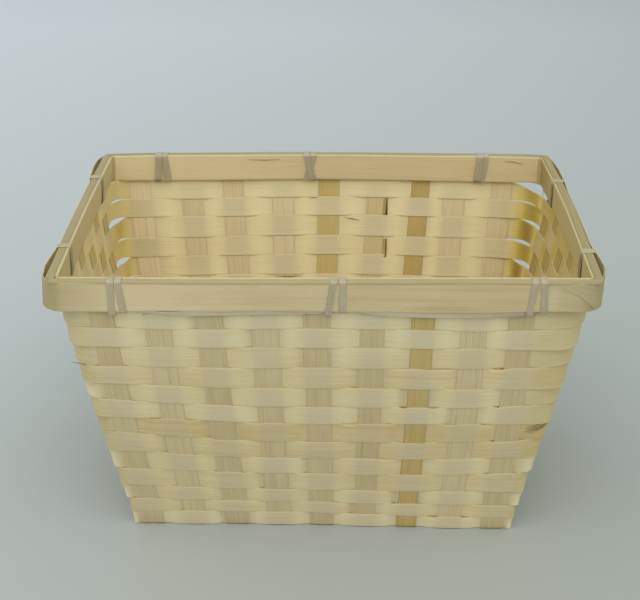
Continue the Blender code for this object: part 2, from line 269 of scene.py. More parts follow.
def crossSection(halfAcross, thickness, radius, face=(0.86, 0.4, 0.0, -0.4, -0.86), ribs=None):
    # the splint's outline: shares across from 1 to -1 and back, with shares of its half thickness
    halfThick = thickness / 2
    radius = min(radius, halfThick)
    sides = []
    for angle in (0, 30, 60, 90):
        across = 1 - radius / halfAcross * (1 - cos(radians(angle)))
        sides.append((across, 1 - radius / halfThick * (1 - sin(radians(angle)))))
    outer = sides + list(ribs or [(share, 1.0) for share in face])
    outer += [(-a, h) for a, h in reversed(sides)]
    inner = [(-a, -h) for a, h in sides] + [(-share, -1.0) for share in face]
    inner += [(a, -h) for a, h in reversed(sides)]
    outline = outer + inner
    if radius >= halfThick:      # the two faces meet in one line at each edge
        outline = [p for i, p in enumerate(outline) if i not in (len(outer) - 1, len(outline) - 1)]
    return np.array(outline)


def linked(name, data):
    item = bpy.data.objects.new(name, data)
    bpy.context.scene.collection.objects.link(item)
    return item


def makePiece(name, vertices, faces, corners, slot, skin):
    # a name with underscores is that of a node, which the piece stands for
    first, *others = name.split("_")
    title = first + "".join(word.capitalize() for word in others)
    mesh = bpy.data.meshes.new(title)
    mesh.from_pydata(vertices.tolist(), [], faces)
    mesh.polygons.foreach_set("use_smooth", [len(face) == 4 for face in faces])
    for key, kind, field in (("grain", "FLOAT_VECTOR", "vector"), ("finish", "FLOAT_VECTOR", "vector"),
                             ("margin", "FLOAT", "value"), ("bent", "FLOAT", "value")):
        layer = mesh.attributes.new(key, kind, "CORNER")
        layer.data.foreach_set(field, np.asarray(corners[key], np.float32).ravel())
    mesh.materials.append(skins[skin or slot])
    piece = linked(title, mesh)
    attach(piece, "root")
    if others:
        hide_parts(name)


def splint(name, upper, lower, thickness, outline, slot, skin=None, closed=False, cup=0.0,
           backed=0.0, tone=0.0, bent=0.0, number=0):
    # a flat strip between two edge lines, with a worked cross-section
    upper, lower = np.asarray(upper, float), np.asarray(lower, float)
    count, around = len(upper), len(outline)

    def spread(value):
        return np.broadcast_to(np.asarray(value, float), (count,))

    centre, half = (upper + lower) / 2, (upper - lower) / 2
    normal = np.cross(travelOf(centre, closed), half)
    normal /= np.linalg.norm(normal, axis=1)[:, None]
    across, rise = outline.T
    stand = rise * spread(thickness)[:, None] / 2 + spread(cup)[:, None] * (1 - across ** 2)
    vertices = (centre[:, None, :] + half[:, None, :] * across[None, :, None]
                + normal[:, None, :] * stand[:, :, None]).reshape(-1, 3)
    place = np.arange((count if closed else count - 1) * around)
    beside = place // around * around + (place + 1) % around
    quads = np.stack([place, beside, beside + around, place + around], axis=1)
    faces = (quads % (count * around)).tolist()
    loops = quads.ravel()
    if not closed:               # one more face at each end
        ends = [np.arange(around)[::-1], np.arange(around) + (count - 1) * around]
        faces += [end.tolist() for end in ends]
        loops = np.concatenate([loops, *ends])
    sections, points = np.divmod(loops, around)
    lane = sections % count
    corners = {
        "grain": np.stack([runLengths(centre, closed)[sections] + 0.37 * number,
                           across[points] * np.linalg.norm(half, axis=1)[lane],
                           np.full(len(points), 1.7 * number + 0.5)], axis=1),
        "finish": np.stack([spread(backed)[lane], spread(tone)[lane], rise[points] < 0], axis=1),
        "margin": np.abs(across[points]),
        "bent": spread(bent)[lane],
    }
    makePiece(name, settled(vertices), faces, corners, slot, skin)


class Strand:
    # one output in a material; strands and numbers combine by + - * and /
    def __init__(self, tree, socket=None):
        self.tree = tree
        self.socket = socket

    def node(self, kind, settings, inputs, output=0):
        made = self.tree.nodes.new(kind)
        for name, value in settings.items():
            setattr(made, name, value)
        for name, value in inputs.items():
            if isinstance(value, Strand):
                self.tree.links.new(value.socket, made.inputs[name])
            else:
                made.inputs[name].default_value = value
        return Strand(self.tree, made.outputs[output])

    def math(self, operation, *values):
        return self.node("ShaderNodeMath", {"operation": operation}, dict(enumerate(values)))

    def __add__(self, other):
        return self.math("ADD", self, other)

    def __sub__(self, other):
        return self.math("SUBTRACT", self, other)

    def __rsub__(self, other):
        return self.math("SUBTRACT", other, self)

    def __mul__(self, other):
        return self.math("MULTIPLY", self, other)

    def __truediv__(self, other):
        return self.math("DIVIDE", self, other)

    __radd__ = __add__
    __rmul__ = __mul__

    def held(self):
        return self.math("MINIMUM", self.math("MAXIMUM", self, 0.0), 1.0)

    def above(self, level, steepness):
        return ((self - level) * steepness).held()

    def split(self):
        parts = self.node("ShaderNodeSeparateXYZ", {}, {0: self})
        return [Strand(self.tree, output) for output in parts.socket.node.outputs]

    def mixed(self, first, second, factor):
        settings = {"data_type": "RGBA", "clamp_factor": True}
        return self.node("ShaderNodeMix", settings, {0: factor, 6: first, 7: second}, output=2)

    def noise(self, place, scales, detail=2.0, roughness=0.5, shift=0.0):
        spread = self.node("ShaderNodeVectorMath", {"operation": "MULTIPLY"}, {0: place, 1: scales})
        moved = self.node("ShaderNodeVectorMath", {"operation": "ADD"}, {0: spread, 1: (shift,) * 3})
        inputs = {"Vector": moved, "Scale": 1.0, "Detail": detail, "Roughness": roughness}
        return self.node("ShaderNodeTexNoise", {"noise_dimensions": "3D"}, inputs)


def paint(*screen):
    # a colour as it is read off a screen, made linear for the shader
    shares = [value / 255 for value in screen]
    return (*(s / 12.92 if s <= 0.04045 else ((s + 0.055) / 1.055) ** 2.4 for s in shares), 1.0)


# Each finish: its colours on a screen, how strong its streaks, fibres, darker edges and ribs are,
# its roughness and its relief. Some colours are painted light and shade: on the weavers the colour
# where a stake lies behind is painted shade, for the light that the thin strip lets through
# elsewhere; on the lasher it is painted light, on the caps and stakes their olive and paler
# stretches. The darker colours for inner and outer faces are painted shade in corners, on the
# side walls and on the ties inside, besides the real brown of rind and golden stakes
finishes = {
    "weaver": {
        "pale": (224, 212, 172), "ripe": (206, 182, 130), "streak": (186, 156, 104),
        "shadeLightAndTint": (208, 192, 158), "inside": (241, 224, 176), "deep": (214, 190, 98),
        "aged": (190, 176, 128), "margin": (220, 205, 158), "umber": (160, 137, 54),
        "streaks": 0.30, "fibres": 0.16, "darkEdge": 0.25, "ribs": 0.0, "roughness": 0.46, "bump": 0.20,
    },
    "stake": {
        "pale": (208, 193, 152), "ripe": (192, 173, 126), "streak": (150, 130, 84),
        "shadeLightAndTint": (232, 212, 170), "inside": (222, 203, 158), "deep": (196, 172, 88),
        "aged": (188, 172, 124), "margin": (198, 181, 137), "umber": (152, 127, 58),
        "streaks": 0.38, "fibres": 0.20, "darkEdge": 0.0, "ribs": 0.4, "roughness": 0.62, "bump": 0.30,
    },
    "golden_stake": {
        "pale": (202, 180, 120), "ripe": (190, 162, 100), "streak": (150, 122, 66),
        "shadeLightAndTint": (190, 164, 108), "inside": (192, 166, 98), "deep": (174, 148, 76),
        "aged": (180, 154, 92), "margin": (172, 146, 86), "umber": (160, 128, 64),
        "streaks": 0.36, "fibres": 0.26, "darkEdge": 0.3, "ribs": 0.4, "roughness": 0.58, "bump": 0.30,
    },
    "band": {
        "pale": (211, 195, 155), "ripe": (186, 168, 122), "streak": (152, 132, 88),
        "shadeLightAndTint": (146, 134, 88), "inside": (238, 220, 172), "deep": (176, 156, 94),
        "aged": (166, 152, 106), "margin": (184, 168, 122), "umber": (150, 130, 76),
        "streaks": 0.20, "fibres": 0.20, "darkEdge": 0.0, "ribs": 0.2, "roughness": 0.52, "bump": 0.18,
    },
    "lashing": {
        "pale": (184, 174, 145), "ripe": (168, 157, 126), "streak": (138, 128, 98),
        "shadeLightAndTint": (214, 204, 174), "inside": (190, 180, 146), "deep": (98, 82, 46),
        "aged": (98, 82, 46), "margin": (160, 150, 120), "umber": (98, 82, 46),
        "streaks": 0.45, "fibres": 0.30, "darkEdge": 0.0, "ribs": 0.0, "roughness": 0.48, "bump": 0.3,
    },
    "rind": {
        "pale": (190, 160, 92), "ripe": (146, 110, 60), "streak": (110, 80, 40),
        "shadeLightAndTint": (146, 110, 60), "inside": (184, 154, 86), "deep": (56, 40, 18),
        "aged": (56, 40, 18), "margin": (130, 100, 56), "umber": (40, 28, 12),
        "streaks": 0.45, "fibres": 0.30, "darkEdge": 0.0, "ribs": 0.0, "roughness": 0.60, "bump": 0.2,
    },
}
# Thin bamboo lets a little light through
glow = {"Subsurface Weight": 0.30, "Subsurface Radius": (1.0, 0.88, 0.66), "Subsurface Scale": 0.0016}


def newSkin(name):
    material = bpy.data.materials.new(name)
    material.use_nodes = True
    return material, material.node_tree.nodes["Principled BSDF"], Strand(material.node_tree)


def bambooSkin(slot):
    look = finishes[slot]
    material, shader, start = newSkin(slot)

    def written(name, output):   # what splint() wrote on the mesh
        return start.node("ShaderNodeAttribute", {"attribute_name": name}, {}, output)

    grain, finish, margin, bent = (written(*pair) for pair in
                                   (("grain", 1), ("finish", 1), ("margin", 2), ("bent", 2)))
    backed, tone, inner = finish.split()
    cloud = start.noise(grain, (34.0, 60.0, 1.0))
    broad = start.noise(grain, (9.0, 420.0, 1.0), roughness=0.55, shift=3.1)
    lines = start.noise(grain, (14.0, 1500.0, 1.0), detail=3.0, roughness=0.6, shift=8.3)
    fine = start.noise(grain, (60.0, 5200.0, 1.0), roughness=0.6, shift=5.7)
    ripeness = (tone + (cloud - 0.5) * 0.9 + (broad - 0.5) * 0.8).held()
    layers = [
        ("ripe", ripeness),
        ("inside", inner * 0.60),
        # painted shade on inner faces in corners, on the side walls and on the ties inside, besides the real
        # brown of rind and golden stakes; past 1 a deeper painted shade
        ("deep", inner * bent * 0.85),
        ("umber", inner * bent.above(1.0, 2.0)),
        # painted shade on outer faces round corners and at the rim's corners, besides the brown of rind
        ("aged", (1 - inner) * bent * 0.85),
        # painted shade on weavers where a stake lies behind, painted light on the lasher, and the caps'
        # olive and paler stretches of stakes
        ("shadeLightAndTint", backed * 0.55),
        ("streak", (lines.above(0.54, 7.0) * look["streaks"] * (0.55 + tone)).held()),
        ("streak", (fine.above(0.52, 5.0) * look["fibres"]).held()),
        ("pale", ((0.46 - lines) * 6.0).held() * 0.35),
        ("margin", margin.above(0.80, 5.0) * 0.4),
        # the strips' edges drawn darker
        ("streak", margin.above(0.95, 40.0) * look["darkEdge"]),
    ]
    colour = paint(*look["pale"])
    for tint, factor in layers:
        colour = start.mixed(colour, paint(*look[tint]), factor)
    rough = look["roughness"] + (cloud - 0.5) * 0.20 + (fine - 0.5) * 0.16
    relief = lines * (0.4 + look["ribs"]) + fine * 0.35 + broad * 0.3
    bump = start.node("ShaderNodeBump", {}, {
        "Strength": look["bump"], "Distance": 0.0003, "Height": relief,
    })
    for socket, strand in (("Base Color", colour), ("Roughness", rough), ("Normal", bump)):
        start.tree.links.new(strand.socket, shader.inputs[socket])
    for socket, value in glow.items():
        shader.inputs[socket].default_value = value
    return material


skins = {slot: bambooSkin(slot) for slot in finishes}
print("finishes ready:", ", ".join(skins))

weave = {
    "thickness": 0.00038,
    "touch": 0.00038,            # from the wall's middle surface to a weaver on a stake
    "bow": 0.00012,              # how far a weaver stands off the middle of a stake
    "beside": 0.0004,            # how far past a stake's edge it keeps that bow
    "overlap": 0.00012,          # rows press over each other's edges
    "parting": 0.00030,          # how far a row's edge draws back where two rows part
    "partingWave": (2.6, 0.9, 1.9),                    # its steepness, and where it starts and is whole
    "parted": (0.0009, 0.0004),  # the same in front, on the lower row's and the upper row's edge
    "partedEnds": (1.5, 0.6),    # in millimetres, how slowly such a stretch starts, and its share there
    "cutDrop": 0.0010,           # how far a row's top comes down where it cuts a corner
    "cup": 0.00010,
    "passes": 7,                 # sections on a stake, between two stakes and round a corner
    "between": 3,
    "corner": 15,
    "upright": 0.9,              # how nearly upright a row stands round a corner
    # how long a corner's curve is for a square corner, for one cut off, and in the hidden row
    "curve": (0.74, 0.42), "plainCurve": 0.85, "leansFrom": 0.3,
    "brown": (0.6, 0.80),        # painted shade: how dark and brown the corners are inside, at their ends and middles
    "edgeWobble": 0.00034, "edgeRadius": 0.0003, "toneWobble": 0.16,
    "lapGap": 0.0002, "lapReach": (-1.35, 1.45),       # the lap, in half widths of its stake
    "backCornerLightAndShade": (0.8, -0.2),    # painted shade and light: how much riper and darker the right corner behind is, and paler the left
    # how ripe each row is; the first and the last are paler, painted light against the band's shade and the
    # floor's
    "tones": (0.05, 0.05, 0.30, 0.42, 0.22, 0.10, 0.80, 0.55, 0.20, 0.42, 0.22, 0.38, -0.20),
    "deep": {"left": 0.40, "right": 1.25},             # painted shade: how dark and brown the side walls are inside
    "hidden": (0.0014, 0.0120),  # the row between the bands: over their feet, and its height
    "firstRowStakeShade": 0.4,       # less of the stakes' painted shade on the first row behind, which lies in the inner band's shade
}
# How deeply a row cuts each corner, from 0, square, to 1, for even rows and odd rows, how far
# it draws in from the corner stake that it passes inside, and which wall has the longer curve
cornerCuts = {
    "front": {"cut": (0.05, 0.45), "draw": 0.0003, "lean": 0.0},       # where the named wall ends
    "right": {"cut": (0.45, 0.62), "draw": 0.0022, "lean": -0.10},
    "back": {"cut": (0.20, 0.62), "draw": 0.0024, "lean": 0.12},
    "left": {"cut": (0.05, 0.50), "draw": 0.0003, "lean": 0.0},
}
cutExceptions = {("right", 1): 0.80, ("right", 2): 0.40, ("right", 3): 0.42, ("right", 4): 0.62,
                 ("right", 5): 0.90, ("back", 1): 0.34, ("back", 2): 0.14, ("back", 5): 0.80}
# Painted shade inside the corners behind: how dark and brown each row is round them
shadedCorners = {"back": {1: 0.40, 2: 0.50, 3: 1.05, 4: 0.75, 5: 0.85},
                "right": {1: 1.25, 2: 1.35, 3: 1.50, 4: 1.35, 5: 1.50}}
# Rows that are riper round the corners in front, and, below 0, rows painted paler where they fold and face
# up, a painted highlight
frontFolds = {"left": {4: 0.7, 5: -0.8, 7: 0.6, 9: -0.9, 11: -0.9, 13: -0.6},
              "right": {4: 0.6, 6: 0.3, 7: 1.0, 8: 0.4, 9: -0.9, 11: -0.9, 12: 0.4, 13: -0.5}}
# Where a row in front stands off the row above it, in millimetres from the middle
frontPartings = {
    3: ((54.4, 72.1), (92.0, 101.4)),
    5: ((44.3, 47.7), (60.1, 65.2), (96.9, 100.9)),
    6: ((-97.2, -90.9), (-76.7, -70.4), (-41.8, -35.5), (11.5, 19.5), (34.4, 39.5), (68.8, 75.6),
        (88.2, 95.0)),
    7: ((-60.8, -49.2), (-10.9, 11.7), (44.1, 59.7), (96.1, 110.6)),
    8: ((-18.0, -14.5), (34.0, 39.3)),
    9: ((-63.3, -57.4), (-46.7, -43.7), (95.8, 98.7)),
    12: ((63.9, 70.6), (84.6, 87.6)),
}
# The first row's dip at the corner behind on the right: where along x, how far, and past which y
firstDip = {"along": (0.1160, 0.1360), "depth": 0.0046, "behind": 0.060}
# How far the last row hangs below its plan: on the sides and elsewhere, and where it shows
lastHang = (0.0006, 0.0016, 0.0022)


def partedAt(k, points):
    x, (slow, first) = points[:, 0] * 1000, weave["partedEnds"]
    shares = [np.clip(np.minimum(x - a, b - x) / slow + first, 0, 1) for a, b in frontPartings.get(k, ())]
    return sum(shares) * (points[:, 1] < 0)


def rowCut(wallName, row):
    return cutExceptions.get((wallName, row), cornerCuts[wallName]["cut"][row % 2])


def cornerRun(number, row, z, side, begin, slope, draw, corners):
    # the sections of one row round the corner where a wall ends
    wall, following = walls[number], nextTo(number)
    half = basket["stakeWidth"] / 2 + weave["beside"]
    shape, reach = cornerCuts[wall["name"]], wall["reach"](z)
    cut = rowCut(wall["name"], row) if corners else 0.0
    # painted shade inside the corner, more at its middle
    endBrown, plainBrown = weave["brown"]
    brown = shadedCorners.get(wall["name"], {}).get(row, plainBrown)
    nextDraw = shape["draw"] * cut if side > 0 else 0.0
    nextPlace = following["stakes"][0](z) - half
    end = spot(following, nextPlace, following["reach"](z) - side * weave["touch"] - nextDraw)
    way = spot(wall, 1, slope - draw / half) * (following["reach"](z) - wall["stakes"][-1](z) - half)
    nextWay = spot(following, 1, slope + nextDraw / half) * (nextPlace + reach)
    stretch = blend(*weave["curve"], cut) if corners else weave["plainCurve"]
    lean = shape["lean"] * (cut > weave["leansFrom"])
    handles = (begin, begin + way * (stretch + lean), end - nextWay * (stretch - lean), end)
    run = []
    for t in np.arange(1, weave["corner"] + 1) / (weave["corner"] + 1):
        weights = ((1 - t) ** 3, 3 * t * (1 - t) ** 2, 3 * t ** 2 * (1 - t), t ** 3)
        point = sum(w * h for w, h in zip(weights, handles))
        turned = sin(pi * t)
        run.append((*point, 0.0, turned, cut * turned ** 2, side * (1 - 2 * t),
                    blend(endBrown, brown, turned)))
    return run


def weaverLine(z, row, corners=True):
    # one table row for each section: x, y, backed by a stake, round a corner, how deep the cut,
    # outside or inside from 1 to -1, and how much painted shade and brown it has
    half = basket["stakeWidth"] / 2 + weave["beside"]
    touch, bow = weave["touch"], weave["bow"]
    table, starts = [], []
    for number, wall in enumerate(walls):
        reach, deep = wall["reach"](z), weave["deep"].get(wall["name"], 0.0)
        places = [stake(z) for stake in wall["stakes"]]
        for i, place in enumerate(places):
            side = 1 if (len(starts) + row) % 2 == 0 else -1
            starts.append(len(table))
            slope = -side * 2 * bow / half
            atEnd = i in (0, len(places) - 1)
            corner = walls[number - 1 if i == 0 else number]["name"]
            drawn = corners and side < 0 and atEnd
            draw = cornerCuts[corner]["draw"] * rowCut(corner, row) if drawn else 0.0
            for step in np.linspace(-1, 1, weave["passes"]):
                near = ((1 - step if i == 0 else 1 + step) / 2) ** 2
                out = side * (touch + bow * (1 - step ** 2)) - draw * near
                # more painted shade towards the corner at a wall's end
                table.append((*spot(wall, place + step * half, reach + out), 1.0, 0.0, 0.0, side,
                              max(deep, 0.5 * near * atEnd)))
            if i + 1 == len(places):
                begin = spot(wall, place + half, reach + side * touch - draw)
                table += cornerRun(number, row, z, side, begin, slope, draw, corners)
                continue
            first, last = place + half, places[i + 1] - half
            for t in np.arange(1, weave["between"] + 1) / (weave["between"] + 1):
                out = (1 - 2 * smooth(t)) * side * touch
                out += (2 * t ** 3 - 3 * t ** 2 + t) * (last - first) * slope
                table.append((*spot(wall, blend(first, last, t), reach + out), 0.0, 0.0, 0.0,
                              side * (1 - 2 * t), deep))
    return np.array(table), starts


rowUnit = (basket["rowsTop"] - basket["rowsFoot"]) / sum(rowShares)
rowLevels = [basket["rowsTop"]]
for share in rowShares:
    rowLevels.append(rowLevels[-1] - share * rowUnit)
rowUneven = [wobble(f"row edge {k}", weave["edgeWobble"], (2, 3, 5, 9, 14)) for k in range(14)]
rowParting = [wobble(f"row parting {k}", 1.0, (7, 11, 19, 27)) for k in range(14)]
rowUneven[0] = lambda share: 0 * share


def weaverRow(row):
    top = rowLevels[row - 1] + weave["overlap"] if row > 1 else basket["innerFoot"] + 0.0010
    foot = rowLevels[row] - weave["overlap"]
    starts = weaverLine(top, row)[1]
    candidates = [i for i in range(1, 8) if (i + row) % 2]
    lapStake = candidates[(row // 2) % len(candidates)]
    half = basket["stakeWidth"] / 2
    inward = weave["touch"] + weave["thickness"] + weave["lapGap"]
    tables = []
    for z in (top, (top + foot) / 2, foot):
        table = np.roll(weaverLine(z, row)[0], -starts[lapStake], axis=0)
        place, reach = walls[0]["stakes"][lapStake](z), halfWidth(z)
        # the end laps inside the start
        lap = [(*spot(walls[0], place + s * half, reach - inward - weave["bow"] * max(1 - s * s, -0.2)),
                1.0, 0.0, 0.0, -1.0, 0.0) for s in np.linspace(*weave["lapReach"], weave["passes"] + 3)]
        tables.append(np.vstack([table, lap]))
    high, middle, low = (table[:, :2] for table in tables)
    backed, corner, cut, passing, bent = tables[1][:, 2:].T
    x, y = middle.T
    # flat splints stand more upright round a corner than the walls do
    upright = (weave["upright"] * corner ** 1.5)[:, None]
    high, low = blend(high, middle, upright), blend(low, middle, upright)
    share = np.arctan2(y / halfWidth(top), x / halfLength(top)) / (2 * pi) % 1
    topZ = top + rowUneven[row - 1](share) - cut * weave["cutDrop"]
    steep, begins, whole = weave["partingWave"]
    topZ = topZ - weave["parting"] * ramp(rowParting[row - 1](share) * steep, begins, whole)
    topZ = topZ - weave["parted"][0] * partedAt(row - 1, middle)
    if row > 1:
        topZ = topZ + rowDrift(row - 1, middle)
    else:
        topZ = topZ - firstDip["depth"] * ramp(x, *firstDip["along"]) * (y > firstDip["behind"])
    if row < len(rowShares):
        footZ = foot + rowUneven[row](share) + rowDrift(row, middle)
        footZ = footZ + weave["parted"][1] * partedAt(row, middle)
    else:                        # the last row hangs lower, most of all where it shows
        onSides = np.abs(x) / halfLength(foot) > np.abs(y) / halfWidth(foot)
        shown = np.maximum(np.clip(1.2 + 2 * passing, 0, 1), np.clip(3 * corner, 0, 1))
        footZ = foot - blend(np.where(onSides, *lastHang[:2]), lastHang[2], shown)
    edges = [np.column_stack([blend(low, high, ((level - foot) / (top - foot))[:, None]), level])
             for level in (topZ, footZ)]
    tone = weave["tones"][row - 1] + wobble(f"row tone {row}", weave["toneWobble"], (1, 3, 7))(share)
    # riper rows round the corners in front; a paler change is a painted highlight where the fold faces up,
    # and takes the corner's painted shade away
    for name, side in (("left", -1), ("right", 1)):
        change = frontFolds[name].get(row, 0.0)
        here = corner * (x * side > 0) * (y < 0)
        tone = tone + change * here
        if change < 0:
            bent = bent * (1 - here)
    # painted shade round the right corner behind, painted light round the left one
    tone = tone + np.where(x > 0, *weave["backCornerLightAndShade"]) * corner * (y > 0)
    # painted shade where a stake lies behind the weaver, softened along the strip
    backed = np.convolve(np.pad(backed, 1, "edge"), (0.25, 0.5, 0.25), "valid")
    if row == 1:
        backed = backed * np.where(y > 0, weave["firstRowStakeShade"], 1.0)
    outline = crossSection((top - foot) / 2, weave["thickness"], weave["edgeRadius"])
    splint(f"weaver_row_{row:02d}", *edges, weave["thickness"], outline, "weaver", cup=weave["cup"],
           backed=backed, tone=tone, bent=bent, number=row)


def hiddenRow():
    # the ring between the bands, which keeps the stakes' ends apart
    foot, height = basket["innerFoot"] + weave["hidden"][0], weave["hidden"][1]
    table, starts = weaverLine(foot + height, 0, corners=False)
    table = np.roll(table, -starts[1] - 3, axis=0)[:-1]
    outline = crossSection(height / 2, weave["thickness"], weave["edgeRadius"])
    # painted shade where a stake lies behind it
    splint("weaver_row_00", raised(table[:, :2], foot + height), raised(table[:, :2], foot),
           weave["thickness"], outline, "weaver", backed=table[:, 2], tone=0.4)


hiddenRow()
for row in range(1, 14):
    weaverRow(row)
print("weavers woven:", len(rowShares) + 1)

stakeWork = {
    "bendRadius": 0.0015,
    "give": 0.00016,             # how far the weavers push a stake in and out
    "widthWobble": 0.00022,
    "ribCount": 15,
    "ribDepth": 0.10,            # deepest rib, as a share of half the thickness
    # lengthwise splits: share across and depth
    "splits": {"stake_long_2": [(0.33, 1.1)], "stake_long_8": [(0.52, 0.9)], "stake_long_4": [(-0.2, 0.5)],
               "stake_cross_2": [(-0.4, 0.8)], "stake_cross_5": [(0.3, 0.9)]},
    "widths": (0.0128, 0.0141, 0.0145, 0.0145, 0.0143, 0.0131, 0.0123, 0.0141, 0.0132),
    "tones": (0.45, 0.30, 0.50, 0.25, 0.45, 0.50, 0.50, 0.20, 0.50),
    # how much paler each long stake is in front and behind
    "paler": ((0.0, 1.8), (0.35, 0.2), (0.0, 0.5), (0.1, 0.9), (0.15, 0.0), (0.0, 0.2), (0.0, 0.0),
              (0.35, 0.6), (0.0, 0.6)),
    "golden": {5: 0.8, 6: 0.35},                   # behind only
    "crossShadeAndBrown": (0.80, 0.35, 1.25),               # painted shade and brown: how dark on the left, in the floor, on the right
    # the floor's levels: over and under for the long stakes, between for the cross stakes
    "levels": (0.0004, 0.0026, 0.0015),
    "flat": 0.0008,              # how far past a crossing a long stake stays level
    "step": 0.0005, "softness": 0.0006, "mostTurn": radians(5), "mostStep": 0.0042,
    "crossNarrower": 0.0004, "crossTones": (0.3, 0.08),
    "edgeRadius": 0.0003,
    "floorTop": 0.006,           # below this a stake has the floor's shade
}


def ribbedFace(name):
    dice = Random(name)
    splits = stakeWork["splits"].get(name, [])
    count = stakeWork["ribCount"]
    points = []
    for i in range(count):
        share = 0.90 - 1.80 * i / (count - 1) + dice.uniform(-0.03, 0.03)
        if all(abs(share - at) > 0.05 for at, _ in splits):
            depth = dice.uniform(0.3, 1.0) if i % 2 else dice.uniform(0.0, 0.2)
            points.append((share, 1 - stakeWork["ribDepth"] * depth))
    for at, depth in splits:
        points += [(at + 0.022, 1.0), (at, 1 - depth), (at - 0.022, 0.95)]
    return sorted(points, reverse=True)


def wallGive(z, index):
    # how far the rows push a stake off its line at a height
    shift = 0.0
    for row, (above, below) in enumerate(zip(rowLevels, rowLevels[1:]), 1):
        near = max(1 - abs(z - (above + below) / 2) / (above - below), 0)
        shift -= (1 if (index + row) % 2 == 0 else -1) * near * stakeWork["give"]
    return shift


def stakeLeg(reach, line, index, low):
    # from the top of a wall down round the bend: place along it, distance out, height
    radius = stakeWork["bendRadius"]
    leg = [(line(z), reach(z) + (wallGive(z, index) if z < basket["rowsTop"] else 0), z)
           for z in np.linspace(basket["bandTop"], low + radius, 120)]
    centre = reach(low + radius) - radius
    for angle in np.linspace(pi / 2, 0, 8)[1:]:
        z = low + radius * (1 - cos(angle))
        leg.append((line(z), centre + radius * sin(angle), z))
    return leg


def stakePiece(name, path, side, width, tone, slot, number, paler, bent):
    path = roundedPath(path, stakeWork["step"], stakeWork["softness"])
    path[:, 2] = np.maximum(path[:, 2], stakeWork["levels"][0])
    path = thinned(path, stakeWork["mostTurn"], stakeWork["mostStep"])
    share = runShares(path)
    half = width / 2 + wobble(name, stakeWork["widthWobble"], (2, 5, 9))(share)
    across = half[:, None] * np.array(side, float)
    outline = crossSection(width / 2, basket["stakeThickness"], stakeWork["edgeRadius"],
                           face=(0.8, 0.4, 0.0, -0.4, -0.8), ribs=ribbedFace(name))
    # painted shade and brown by stretch: in the floor, then the first and the second wall
    splint(name, path + across, path - across, basket["stakeThickness"], outline, slot,
           tone=tone + wobble(name + " tone", 0.2, (1, 3, 6))(share),
           backed=blend(*paler, ramp(share, 1 / 3, 2 / 3)),
           bent=np.where(path[:, 2] < stakeWork["floorTop"], bent[1],
                         np.where(share < 0.5, bent[0], bent[2])),
           number=number)


def longStake(number):
    k = number - 1
    under, over, _ = stakeWork["levels"]
    levels = [under if (number + j) % 2 == 0 else over for j in range(1, 7)]
    points = [(x, -out, z) for x, out, z in stakeLeg(halfWidth, walls[0]["stakes"][k], k, levels[0])]
    edge = basket["stakeWidth"] / 2 + stakeWork["flat"]
    for share, level in zip(crossFloor, levels):
        x, y = longFloor[k] * halfLength(0), share * halfWidth(0)
        points += [(x, y - edge, level), (x, y + edge, level)]
    backLine = stakeLine(longFloor[k], longBack[k], halfLength)
    points += [(x, out, z) for x, out, z in stakeLeg(halfWidth, backLine, 23 - k, levels[-1])[::-1]]
    stakePiece(f"stake_long_{number}", points, (1, 0, 0), stakeWork["widths"][k], stakeWork["tones"][k],
               "golden_stake" if number == 7 else "stake", 20 + number, stakeWork["paler"][k],
               (0.0, 0.25, stakeWork["golden"].get(number, 0.0)))


def crossStake(number):
    k, level = number - 1, stakeWork["levels"][2]
    leftLine = stakeLine(crossFloor[k], crossLeft[k], halfWidth)
    points = [(-out, y, z) for y, out, z in stakeLeg(halfLength, leftLine, 29 - k, level)]
    rightLine = walls[1]["stakes"][k]
    points += [(out, y, z) for y, out, z in stakeLeg(halfLength, rightLine, 9 + k, level)[::-1]]
    width, (tone, more) = basket["stakeWidth"] - stakeWork["crossNarrower"], stakeWork["crossTones"]
    stakePiece(f"stake_cross_{number}", points, (0, -1, 0), width, tone + more * number, "stake",
               30 + number, (0.0, 0.0), stakeWork["crossShadeAndBrown"])


for number in range(1, 10):
    longStake(number)
for number in range(1, 7):
    crossStake(number)
print("stakes set: 15")

fibreWork = {"thickness": 0.00016, "edge": 0.00006, "step": 0.0004, "softness": 0.0010}
